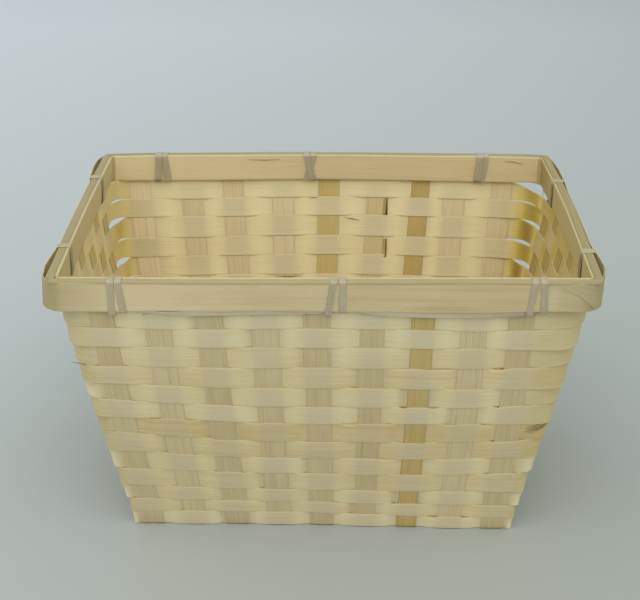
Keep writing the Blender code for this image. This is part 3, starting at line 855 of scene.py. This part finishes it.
# Loose fibres, slivers and scratches, in millimetres: on the front wall (1) or the back wall (-1),
# widths, how brown, and points as x, height and how far they stand off the wall's middle
fibres = {
    "fibreLeft": (1, (0.4, 0.4, 0.1), 1.1, (
        (-129.0, 124.9, 1.0), (-133.0, 124.5, -1.0), (-137.4, 124.0, -3.0))),
    "splinterBack": (-1, (0.1, 0.6, 0.2), 0.8, (
        (13.0, 136.7, -1.2), (18.5, 136.0, -1.0), (23.6, 134.8, -0.8))),
    "fibreCorner": (-1, (0.2, 0.3, 0.2), 0.9, (
        (143.2, 164.0, -4.0), (143.6, 159.5, -4.2), (143.4, 154.5, -4.0))),
    # dark brown strips along the right edge of a stake behind, in two of its openings
    "rindBack": (-1, (1.5, 1.2, 0.7), 1.05, (
        (41.8, 138.8, -0.52), (42.0, 144.0, -0.52), (42.2, 150.4, -0.52))),
    "rindBackLow": (-1, (0.6, 1.0, 0.8), 0.8, (
        (41.6, 109.6, -0.52), (41.7, 116.0, -0.52), (41.8, 122.4, -0.52))),
    "rindGolden": (-1, (2.6, 2.2, 1.8), -0.4, (
        (40.4, 138.8, -0.46), (40.8, 144.0, -0.46), (41.0, 150.4, -0.46))),
    "rindGoldenLow": (-1, (1.2, 1.8, 1.6), -0.4, (
        (40.7, 109.6, -0.46), (40.7, 116.0, -0.46), (40.8, 122.4, -0.46))),
    "fibreRowOne": (-1, (0.2, 0.5, 0.2), 0.9, (
        (-11.2, 150.3, -1.0), (-8.0, 150.1, -1.1), (-4.4, 150.2, -1.0))),
    "fibreRowFive": (-1, (0.2, 0.6, 0.2), 0.7, (
        (-32.6, 96.4, -1.0), (-23.0, 96.1, -1.1), (-14.6, 96.6, -1.0))),
    "scratchBand": (-1, (0.1, 0.4, 0.1), 0.45, (
        (-51.4, 177.2, -3.45), (-40.0, 176.8, -3.45), (-30.0, 177.3, -3.45))),
    "scratchBandRight": (-1, (0.1, 0.4, 0.1), 0.5, (
        (119.0, 177.6, -3.45), (124.5, 177.0, -3.45), (130.0, 175.6, -3.45))),
}
# Row 7 has split where it rounds the right corner in front: shares of the way round, then
# heights, how far it stands off the row and widths in millimetres, and how brown it is
cracks = {
    "crackShade": ((0.00, 0.80), (79.3, 80.6, 82.6, 84.4), 0.30, (0.4, 1.4, 1.8, 0.8), 0.0),
    "crackUpper": ((-0.06, 0.85), (77.6, 78.7, 81.2, 84.6), 0.38, (0.1, 0.5, 0.7, 0.3), 0.70),
    "crackLower": ((0.05, 0.70), (76.8, 77.8, 79.4, 81.6), 0.38, (0.1, 0.3, 0.4, 0.1), 0.15),
}
crackWork = {"row": 7, "height": 0.082, "points": 12, "ahead": 6}


def fibrePiece(name, points, widths, brown, number):
    path = roundedPath(points, fibreWork["step"], fibreWork["softness"])
    half = 0.0005 * np.interp(runShares(path), np.linspace(0, 1, len(widths)), widths)
    off = np.cross(travelOf(path), (0, -1.0, 0))
    off *= (half / np.linalg.norm(off, axis=1))[:, None]
    outline = crossSection(0.0005 * max(widths), fibreWork["thickness"], fibreWork["edge"])
    splint(name, path + off, path - off, fibreWork["thickness"], outline, "lashing", "rind",
           tone=min(0.5, 0.5 + 2 * brown), bent=max(brown, 0), number=number)


def crackPiece(name, number, stretch, heights, stand, widths, brown):
    table = weaverLine(crackWork["height"], crackWork["row"])[0]
    around = np.flatnonzero((table[:, 0] > 0) & (table[:, 1] < 0) & (table[:, 3] > 0))
    ahead, count = crackWork["ahead"], crackWork["points"]       # sections before the corner
    corner = table[around[0] - ahead:around[-1] + 1, :2]
    line = corner + 0.001 * stand * outwardOf(corner)
    at = ahead + np.linspace(*stretch, count) * (len(around) - 1)
    places = [np.interp(at, range(len(line)), column) for column in line.T]
    rises = np.interp(np.linspace(0, 1, count), np.linspace(0, 1, len(heights)), heights)
    fibrePiece(name, np.column_stack([*places, 0.001 * rises]), widths, brown, number)


for number, (name, (side, widths, brown, points)) in enumerate(fibres.items(), 71):
    x, z, out = 0.001 * np.array(points).T
    fibrePiece(name, np.column_stack([x, -side * (halfWidth(z) + out), z]), widths, brown, number)
for number, (name, work) in enumerate(cracks.items(), 85):
    crackPiece(name, number, *work)
print("fibres laid:", len(fibres) + len(cracks))

outerBand = {
    "thickness": 0.0008, "thinOnRight": 0.0005, "corner": 0.0125,
    "face": 0.0034,              # from the wall's middle surface to the band's outer face
    "standOut": {"front": 0.0, "right": 0.0004, "back": 0.0, "left": 0.0005},
    # how far it bows out where the named wall ends: on that wall at two places after its last
    # tie and at the corner, then on the next wall at the corner and two places before its tie
    "bows": {"front": ((0.0002, 0.0004, 0.0006), (0.0006, 0.0030, 0.0019)),
             "right": ((0.0012, 0.0018, 0.0005), (0.0010, 0.0008, 0.0004)),
             "back": ((0.0004, 0.0008, 0.0012), (0.0025, 0.0031, 0.0020)),
             "left": ((0.0020, 0.0033, 0.0022), (0.0006, 0.0004, 0.0002))},
    "places": (0.35, 0.75),      # where along the bow those two places are
    "step": 0.0007, "softness": 0.0016, "wave": 0.00025,
    "topRise": (0.0009, 0.0004),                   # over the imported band, and more on the right
    # heights of the foot in front, in millimetres over the general one, from left to right
    "footRise": (0.1, 0.0, 0.6, 0.0, 0.4, 0.2, 0.0, -0.9, -0.85, 0.3, 0.5),
    "footFlare": 0.0013,                           # at the left corner in front
    # where along x the top rises and the band thins on the right, and its foot flares
    "rises": (0.140, 0.144), "thins": (0.130, 0.142), "flares": (-0.125, -0.140),
    "cornerReach": (0.009, 0.012), "brown": 1.1,   # how far the corners' shade reaches
    "halfHeight": 0.009, "edgeRadius": 0.0004, "mostTurn": radians(4), "mostStep": 0.006,
    "tones": ((-0.13, -0.05, 0.02, 0.13), (-0.3, 0.3, 0.45, 0.45)),
}
# The end of the band's peeled outer layer: where it starts in front and ends on the right wall
bandLap = {"start": 0.1195, "end": -0.045, "thickness": 0.00014, "press": 0.00004,
           "halfHeight": 0.008, "edgeRadius": 0.00009,
           "above": (0.0001, 0.0007),              # over the band's top and over its foot
           "brown": (0.25, 0.6, 0.030, 0.012),     # least, more, where along it and how wide
           # along the band from there: how far its cut edge lies below the top
           "cut": ((0.0, 0.0045, 0.0085, 0.0140, 0.0195, 0.0265),
                   (0.0, 0.0003, 0.0024, 0.0062, 0.0106, 0.0170))}
innerBand = {"thickness": 0.0016, "corner": 0.0025, "wave": 0.00015, "edgeRadius": 0.0003,
             "tuck": 0.0005,         # how far its foot leans back towards the wall
             "tones": ((-0.135, -0.110, -0.050, 0.0, 0.135), (-1.0, -0.7, 0.3, 0.7, 0.8)),
             # painted shade: how dark and brown in the corners, on the left, and on the right from the
             # middle back
             "cornerShade": 0.9, "left": 0.55, "right": ((0.02, 0.06, 0.09), (0.85, 1.0, 1.3))}
capStrip = {"thickness": 0.0012, "sink": 0.00005, "inset": 0.0012, "endRadius": 0.0045,
            "wave": 0.00018, "sections": 70, "edgeRadius": 0.00022, "cup": 0.00006,
            # how far its outer edge lies past the band's outer face, its inner edge past the
            # weave's inner side, and how much higher it lies, and how olive it is
            "lie": {"front": (0.00012, 0.00025, 0.0, 1.0), "right": (-0.0011, 0.00085, 0.00012, 1.6),
                    "back": (0.00012, 0.00025, 0.0, 1.3), "left": (-0.0008, 0.00025, 0.0, 1.5)},
            "bent": ((0, 0.4, 0.85, 0.96, 1), (0, 0.1, 0.3, 0.8, 1.1))}
# from the first tie's near edge to the last tie's far edge on each wall
tiedStretches = {"front": (-0.1156, 0.1245), "right": (-0.0480, 0.0350),
                 "back": (-0.1120, 0.1120), "left": (-0.0480, 0.0480)}


def woodFace(name, count=13, depth=0.05):
    dice = Random(name)
    return [(0.9 - 1.8 * i / (count - 1) + dice.uniform(-0.02, 0.02), 1 - depth * dice.random())
            for i in range(count)]


def outerFace(wall):
    return wall["reach"](1) + outerBand["face"] + outerBand["standOut"][wall["name"]]


def bandCorner(number, offset):
    # round the corner where a wall ends, from its last tie to the next wall's first tie
    wall, following, radius = walls[number], nextTo(number), outerBand["corner"]
    bows, nextBows = outerBand["bows"][wall["name"]]
    line, nextLine = outerFace(wall) + offset, outerFace(following) + offset
    begin, end = tiedStretches[wall["name"]][1] + 0.001, tiedStretches[following["name"]][0] - 0.001
    centreAlong, centreOut = nextLine + nextBows[0] - radius, line + bows[2] - radius
    points = [spot(wall, begin, line)]
    for share, rise in zip(outerBand["places"], bows):
        points.append(spot(wall, blend(begin, centreAlong, share), line + rise))
    for angle in np.linspace(0, pi / 2, 13):
        points.append(spot(wall, centreAlong + radius * sin(angle), centreOut + radius * cos(angle)))
    for share, rise in zip(outerBand["places"][::-1], nextBows[1:]):
        points.append(spot(following, blend(end, -centreOut, share), nextLine + rise))
    return points + [spot(following, end, nextLine)]


def outerBandPiece():
    points = [point for number in range(4) for point in bandCorner(number, -outerBand["thickness"] / 2)]
    path = roundedPath(points, outerBand["step"], outerBand["softness"], closed=True)
    path = thinned(path, outerBand["mostTurn"], outerBand["mostStep"])
    x, y = path.T
    wave = wobble("outer band", outerBand["wave"], (3, 5, 8))(runShares(path, True))
    rise = 0.001 * np.interp(x / halfLength(1), np.linspace(-1, 1, 11), outerBand["footRise"]) * (y < 0)
    cornerSize = np.array((halfLength(1), halfWidth(1))) - outerBand["cornerReach"]
    bent = outerBand["brown"] * np.all(np.abs(path) > cornerSize, axis=1)
    bent = np.convolve(np.pad(bent, 3, "wrap"), np.ones(7) / 7, "valid")
    rises, more = outerBand["topRise"]
    top = basket["bandTop"] + rises + more * ramp(x, *outerBand["rises"])
    lower = raised(path, basket["outerFoot"] + wave + rise)
    lower[:, 0] -= outerBand["footFlare"] * ramp(x, *outerBand["flares"]) * (y < 0)
    outline = crossSection(outerBand["halfHeight"], outerBand["thickness"], outerBand["edgeRadius"],
                           ribs=woodFace("outer band face"))
    thick = blend(outerBand["thickness"], outerBand["thinOnRight"], ramp(x, *outerBand["thins"]))
    splint("rim_band_outer", raised(path, top), lower, thick, outline, "band", closed=True,
           tone=np.interp(x, *outerBand["tones"]) + 0.2 * wave / outerBand["wave"], bent=bent, number=41)


def bandLapPiece():
    front, right = walls[0], walls[1]
    offset = bandLap["thickness"] / 2 - bandLap["press"]
    points = [spot(front, bandLap["start"] - 0.004, outerFace(front) + offset), *bandCorner(0, offset),
              spot(right, bandLap["end"] + 0.004, outerFace(right) + offset)]
    path = roundedPath(points, outerBand["step"], outerBand["softness"])
    path = path[path[:, 0] > bandLap["start"]]
    gone = runLengths(path)
    overTop, overFoot = bandLap["above"]
    top = basket["bandTop"] + overTop
    low = np.maximum(top - 0.0005 - np.interp(gone, *bandLap["cut"]), basket["outerFoot"] + overFoot)
    least, more, where, wide = bandLap["brown"]
    outline = crossSection(bandLap["halfHeight"], bandLap["thickness"], bandLap["edgeRadius"],
                           ribs=woodFace("band lap"))
    splint("rimBandLap", raised(path, top), raised(path, low), bandLap["thickness"], outline, "band",
           tone=0.45, bent=least + more * np.exp(-((gone - where) / wide) ** 2), number=47)


def innerBandPiece():
    offset = basket["wallDepth"] / 2 + basket["gap"] + innerBand["thickness"] / 2
    corner, top, foot = innerBand["corner"], basket["height"], basket["innerFoot"]
    points = []
    for number, wall in enumerate(walls):
        line, nextLine = wall["reach"](1) - offset, nextTo(number)["reach"](1) - offset
        for place in np.linspace(-0.99, 0.99, 30) * (nextLine - corner):
            points.append(spot(wall, place, line))
        for angle in np.linspace(0, pi / 2, 9):
            along, out = nextLine - corner * (1 - sin(angle)), line - corner * (1 - cos(angle))
            points.append(spot(wall, along, out))
    path = np.array(points)
    x, y = path.T
    wave = wobble("inner band", innerBand["wave"], (3, 5, 8))(runShares(path, True))
    outward = outwardOf(path, True)
    turned = np.abs(outward[:, 0] * outward[:, 1])
    tuck = innerBand["tuck"] * (1 - np.clip(4 * turned, 0, 1))
    lower = raised(path + tuck[:, None] * outward, foot + wave)
    outline = crossSection((top - foot) / 2, innerBand["thickness"], innerBand["edgeRadius"],
                           ribs=woodFace("inner band face"))
    onSides = np.abs(outward[:, 0]) > 0.7
    tone = np.where((y > 0) & ~onSides, np.interp(x, *innerBand["tones"]), 0.15)
    # painted shade on the side walls, darkest on the right towards the back, and in the corners
    bent = np.where(x > 0, np.interp(y, *innerBand["right"]), innerBand["left"]) * onSides
    bent = np.where(turned > 0.05, innerBand["cornerShade"], bent)
    splint("rim_band_inner", raised(path, np.minimum(top + wave, top)), lower, innerBand["thickness"],
           outline, "band", closed=True, tone=tone + 0.2 * wave / innerBand["wave"], bent=bent, number=42)


def capPiece(number):
    wall, name = walls[number], walls[number]["name"]
    past, within, higher, olive = capStrip["lie"][name]
    side, radius = basket["wallDepth"] / 2, capStrip["endRadius"]
    outer, inner = outerFace(wall) + past, wall["reach"](1) - side - within
    whole = name in ("front", "back")
    if whole:                    # these two reach over the ends of the others
        half = outerFace(nextTo(number)) - capStrip["inset"]
    else:
        half = nextTo(number)["reach"](1) - side - basket["gap"]
    places = half * np.sin(np.linspace(-pi / 2, pi / 2, capStrip["sections"]))
    share = np.linspace(0, 1, capStrip["sections"])
    wave = wobble(f"cap {number}", capStrip["wave"], (1, 3, 4))(share)
    z = basket["height"] - capStrip["thickness"] / 2 - capStrip["sink"] + 0.1 * wave + higher
    toEnd = np.minimum(half - np.abs(places), radius)
    rounding = (radius - np.sqrt(radius ** 2 - (radius - toEnd) ** 2)) * whole
    innerEdge = [(*spot(wall, p, inner), h) for p, h in zip(places, z)]
    outerEdge = [(*spot(wall, p, outer + w - r), h) for p, w, r, h in zip(places, wave, rounding, z)]
    outline = crossSection((outer - inner) / 2, capStrip["thickness"], capStrip["edgeRadius"],
                           ribs=woodFace(f"cap face {number}", 7, 0.06))
    splint(f"rim_cap_{name}", innerEdge, outerEdge, capStrip["thickness"], outline, "band", tone=0.5,
           cup=capStrip["cup"], backed=olive,
           bent=np.interp(np.abs(places) / half, *capStrip["bent"]) * whole, number=43 + number)


outerBandPiece()
bandLapPiece()
innerBandPiece()
for number in range(4):
    capPiece(number)
print("rim bands and caps bent")

lashing = {
    "width": {"front": (0.0036, 0.0036, 0.0036), "right": (0.0060, 0.0046),
              "back": (0.0044, 0.0044, 0.0044), "left": (0.0052, 0.0054)},
    "thickness": 0.00045, "stand": 0.00005, "widthWobble": 0.00022,
    "halfWidth": 0.0020, "edgeRadius": 0.0002,
    "step": 0.00025, "softness": 0.00035, "mostTurn": radians(9), "mostStep": 0.0022,
    "shaded": {"left": 0.45, "right": 0.85},       # how dark the ties are inside
    # two shallow grooves in the strip's face
    "face": (0.8, 0.45, 0.3, -0.3, -0.5, -0.8),
    "ribs": ((0.8, 1.0), (0.45, 1.0), (0.36, 0.55), (0.25, 1.0), (-0.35, 1.0), (-0.45, 0.6),
             (-0.55, 1.0), (-0.8, 1.0)),
}
# Each tie's strands: places of the head and the foot on the outer band, then where it
# passes through the slot and stands on the inner band, along its wall from left to right.
# The others are wound once, in the middle of their place
tieStrands = {
    ("front", 1): [(-0.1129, -0.1129, -0.1096), (-0.1088, -0.1066, -0.1050)],
    ("front", 2): [(0.0061, 0.0033, 0.0074), (0.0109, 0.0110, 0.0120)],
    ("front", 3): [(0.1132, 0.1110, 0.1179), (0.1178, 0.1184, 0.1225)],
    ("back", 1): [(-0.1072, -0.1072, -0.1046), (-0.1034, -0.1030, -0.1022)],
    ("back", 2): [(0.0072, 0.0072, 0.0122), (0.0120, 0.0118, 0.0080)],
    ("back", 3): [(0.1068, 0.1060, 0.1050), (0.1106, 0.1106, 0.1117)],
}
# The lashing's runs from tie to tie: how far they stand off the walls' middle surface, their
# sag below the band's foot and their height, between the ties and beside them
lasherRun = {"tucked": 0.0014, "atTies": 0.0021, "lower": 0.0022, "upper": 0.0037, "opens": 0.016,
             "sag": (0.0014, 0.0030), "height": (0.0026, 0.0040),
             "outsideTies": (0.0010, -0.0004), "cornerHeight": 0.0012,
             "pastStakes": 0.0073,   # where it leaves a wall, past the middle of the last stake
             "wallPlaces": 64, "cornerPlaces": 15, "wobble": 0.00016, "halfWidth": 0.0019,
             "tones": ((-0.08, 0.06, 0.12), (0.0, 0.5, 1.8)),
             # painted light: how much paler the strip is along x, where the band's foot shades it
             "green": ((-0.08, 0.06, 0.12), (2.0, 1.6, 0.5))}
# In front, in millimetres: places, how far the lower edge hangs below the band's foot, and the
# strip's height
lasherFront = {
    "places": (-115, -103, -92, -85, -76, -65, -44, -12, 4, 14.5, 22, 33, 52, 81, 105, 118),
    "sag": (1.2, 0.8, 1.5, 2.3, 2.9, 2.9, 2.6, 2.1, 1.2, 1.0, 1.4, 3.1, 3.9, 4.3, 4.1, 2.0),
    "height": (2.4, 1.8, 1.8, 2.2, 3.0, 3.8, 4.0, 4.0, 3.0, 2.8, 2.8, 3.6, 4.4, 4.6, 4.2, 3.0),
}


def tieMiddles(wall):
    axis = 0 if wall["along"][0] else 1
    boxes = [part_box(f"rim_tie_{wall['name']}_{n + 1}") for n in range(len(lashing["width"][wall["name"]]))]
    return [(low[axis] + high[axis]) / 2 * wall["along"][axis] for low, high in boxes]


def tiePiece(wall, number, middle):
    name = f"rim_tie_{wall['name']}_{number}"
    strands = tieStrands.get((wall["name"], number), [(middle,) * 3])
    closed = len(strands) == 1
    reach, thickness = wall["reach"](1), lashing["thickness"]
    stand = lashing["stand"] + thickness / 2
    outside = outerFace(wall) + stand
    inside = reach - basket["wallDepth"] / 2 - basket["gap"] - innerBand["thickness"] - stand
    roof, innerFoot, outerFoot = basket["height"] + stand, basket["innerFoot"], basket["outerFoot"]
    points = []
    if not closed:               # the tail comes down in front and turns back under the lasher
        tail = strands[0][1]
        points = [(tail + 0.0004, outside - 0.0024, outerFoot - 0.0028),
                  (tail + 0.0002, outside - 0.0002, outerFoot - 0.0022)]
    for turn, (head, foot, slot) in enumerate(strands):
        if turn:                 # the second strand lies over the first one's edge
            inside -= thickness
            points += [(slot, inside + 0.0004, innerFoot - 0.0002),
                       (slot, inside + 0.0018, innerFoot - 0.0004),
                       (foot, outside - 0.0006, outerFoot - stand - 0.0004)]
        points += [(foot, outside, outerFoot + 0.0002), (head, outside, roof - 0.0005),
                   (head, outside - 0.0006, roof), (head, inside + 0.0006, roof),
                   (head, inside, roof - 0.0005), (slot, inside, innerFoot + 0.0004)]
    if closed:
        points += [(slot, inside + 0.0004, innerFoot - 0.0003), (slot, inside + 0.0018, innerFoot - 0.0004),
                   (slot, outside - 0.0006, outerFoot - 0.0004)]
    path = [(*spot(wall, p, out), z) for p, out, z in points]
    path = roundedPath(path, lashing["step"], lashing["softness"], closed)
    path = thinned(path, lashing["mostTurn"], lashing["mostStep"])
    half = lashing["width"][wall["name"]][number - 1] / 2
    half = half + wobble(name, lashing["widthWobble"], (2, 5))(runShares(path))
    across = half[:, None] * np.array([*spot(wall, 1, 0), 0])
    within = (path[:, :2] @ wall["out"] < reach - 0.0015) & (path[:, 2] < basket["height"] - 0.0012)
    outline = crossSection(lashing["halfWidth"], thickness, lashing["edgeRadius"],
                           face=lashing["face"], ribs=lashing["ribs"])
    splint(name, path - across, path + across, thickness, outline, "lashing", closed=closed, tone=0.4,
           bent=lashing["shaded"].get(wall["name"], 0.0) * within, number=50 + number)


for wall in walls:
    for number, middle in enumerate(tieMiddles(wall), 1):
        tiePiece(wall, number, middle)


def lasherPiece():
    # the lashing's runs from tie to tie, round the foot of the outer band
    rows = []                    # x, y of the upper and the lower edge, depth below the foot, height
    tucked, atTies = lasherRun["tucked"], lasherRun["atTies"]
    for number, wall in enumerate(walls):
        following = nextTo(number)
        z, past = basket["rowsTop"] - 0.002, lasherRun["pastStakes"]
        reach, span = wall["reach"](z), following["reach"](z)
        first, last = wall["stakes"][0](z) - past, wall["stakes"][-1](z) + past
        ties = sorted(tieMiddles(wall))
        for place in np.linspace(first, last, lasherRun["wallPlaces"]):
            near = min(*(abs(place - tie) / lasherRun["opens"] for tie in ties), 1)
            opening = smooth(near)
            if not ties[0] < place < ties[-1]:
                upper = lower = blend(atTies, tucked, near)
                sag, height = blend(*lasherRun["outsideTies"], near), lasherRun["height"][0]
            else:
                upper, lower = (blend(atTies, lasherRun[edge], opening) for edge in ("upper", "lower"))
                sag, height = (blend(*lasherRun[size], opening) for size in ("sag", "height"))
                if wall["name"] == "front":
                    sag, height = (0.001 * np.interp(1000 * place, lasherFront["places"], lasherFront[size])
                                   for size in ("sag", "height"))
            rows.append((*spot(wall, place, reach + upper), *spot(wall, place, reach + lower), sag, height))
        begin = spot(wall, last, reach + tucked)
        end = spot(following, following["stakes"][0](z) - past, span + tucked)
        crown = spot(wall, span + tucked, reach + tucked)
        for t in np.arange(1, lasherRun["cornerPlaces"] + 1) / (lasherRun["cornerPlaces"] + 1):
            point = (1 - t) ** 2 * begin + 2 * t * (1 - t) * crown + t ** 2 * end
            rows.append((*point, *point, lasherRun["outsideTies"][1], lasherRun["cornerHeight"]))
    rows = np.array(rows)
    uneven = wobble("lasher", lasherRun["wobble"], (5, 9, 14))(runShares(rows[:, :2], True))
    low = basket["outerFoot"] - rows[:, 4] + uneven
    outline = crossSection(lasherRun["halfWidth"], lashing["thickness"], lashing["edgeRadius"])
    # painted light makes the strip paler where the band shades it
    splint("rim_lasher", raised(rows[:, :2], low + rows[:, 5]), raised(rows[:, 2:4], low),
           lashing["thickness"], outline, "lashing", closed=True,
           tone=np.interp(rows[:, 0], *lasherRun["tones"]),
           backed=np.interp(rows[:, 0], *lasherRun["green"]), number=60)


lasherPiece()
print("rim lashed")

# The studio sheet's colours are painted light: darker near the basket and to the right, lighter far back and
# to the left
stageSet = {"near": (166, 172, 166), "far": (202, 210, 211), "right": (140, 146, 138),
            "left": (226, 236, 246), "sideways": 0.45, "deepest": (-0.12, 1.17),
            "width": 6.0, "front": -2.0, "curveFrom": 1.6, "curveRadius": 0.8, "top": 3.0,
            "roughness": 0.5, "specular": 0.35}


def stagePiece():
    # one sheet: a floor that curves up into a backdrop
    radius, start = stageSet["curveRadius"], stageSet["curveFrom"]
    profile = [(stageSet["front"], 0.0), (start, 0.0)]
    for angle in np.linspace(0, pi / 2, 13)[1:]:
        profile.append((start + radius * sin(angle), radius * (1 - cos(angle))))
    profile.append((profile[-1][0], stageSet["top"]))
    vertices = [(x, y, z) for y, z in profile for x in (-stageSet["width"] / 2, stageSet["width"] / 2)]
    faces = [(2 * i, 2 * i + 1, 2 * i + 3, 2 * i + 2) for i in range(len(profile) - 1)]
    mesh = bpy.data.meshes.new("studioSheet")
    mesh.from_pydata(vertices, [], faces)
    mesh.polygons.foreach_set("use_smooth", [True] * len(faces))
    material, shader, strand = newSkin("studioPaper")
    x, y, _ = strand.node("ShaderNodeTexCoord", {}, {}, output=3).split()
    # painted light: darker near the basket and to the right, lighter far back and to the left
    near, far = stageSet["deepest"]
    depth = ((y - near) / (far - near)).held()
    colour = strand.mixed(paint(*stageSet["near"]), paint(*stageSet["far"]), depth)
    for side, sign in (("right", 1), ("left", -1)):
        colour = strand.mixed(colour, paint(*stageSet[side]), (x * (sign * stageSet["sideways"])).held())
    strand.tree.links.new(colour.socket, shader.inputs["Base Color"])
    shader.inputs["Roughness"].default_value = stageSet["roughness"]
    shader.inputs["Specular IOR Level"].default_value = stageSet["specular"]
    mesh.materials.append(material)
    linked("studioSheet", mesh)


stagePiece()

air = {"colour": (0.96, 0.985, 1.0), "strength": 0.79}
lamp = {"place": (-0.05, -1.35, 2.40), "aim": (0, 0, 0.08), "size": 3.0, "power": 37.5,
        "colour": (1.0, 0.985, 0.96)}
view = {"place": (0.0048, -0.735, 0.469), "pitch": 25.35, "yaw": 0.53, "roll": 0.10, "lens": 73.91}


def lightUp():
    world = bpy.data.worlds.new("studioAir")
    bpy.context.scene.world = world
    world.use_nodes = True
    background = world.node_tree.nodes["Background"]
    background.inputs["Color"].default_value = (*air["colour"], 1)
    background.inputs["Strength"].default_value = air["strength"]
    light = bpy.data.lights.new("key", "AREA")
    light.shape = "DISK"
    light.size = lamp["size"]
    light.energy = lamp["power"]
    light.color = lamp["colour"]
    place = Vector(lamp["place"])
    turn = (Vector(lamp["aim"]) - place).to_track_quat("-Z", "Y").to_matrix().to_4x4()
    linked("key", light).matrix_world = Matrix.Translation(place) @ turn


def setCamera():
    camera = bpy.data.cameras.new("camera")
    camera.lens = view["lens"]
    camera.sensor_fit = "HORIZONTAL"
    camera.sensor_width = 36
    camera.clip_start = 0.05
    turn = (Matrix.Rotation(radians(view["yaw"]), 4, "Z")
            @ Matrix.Rotation(radians(90 - view["pitch"]), 4, "X")
            @ Matrix.Rotation(radians(view["roll"]), 4, "Z"))
    holder = linked("camera", camera)
    holder.matrix_world = Matrix.Translation(view["place"]) @ turn
    bpy.context.scene.camera = holder


lightUp()
setCamera()
bpy.context.scene.view_settings.view_transform = "Standard"
print("light and camera set")
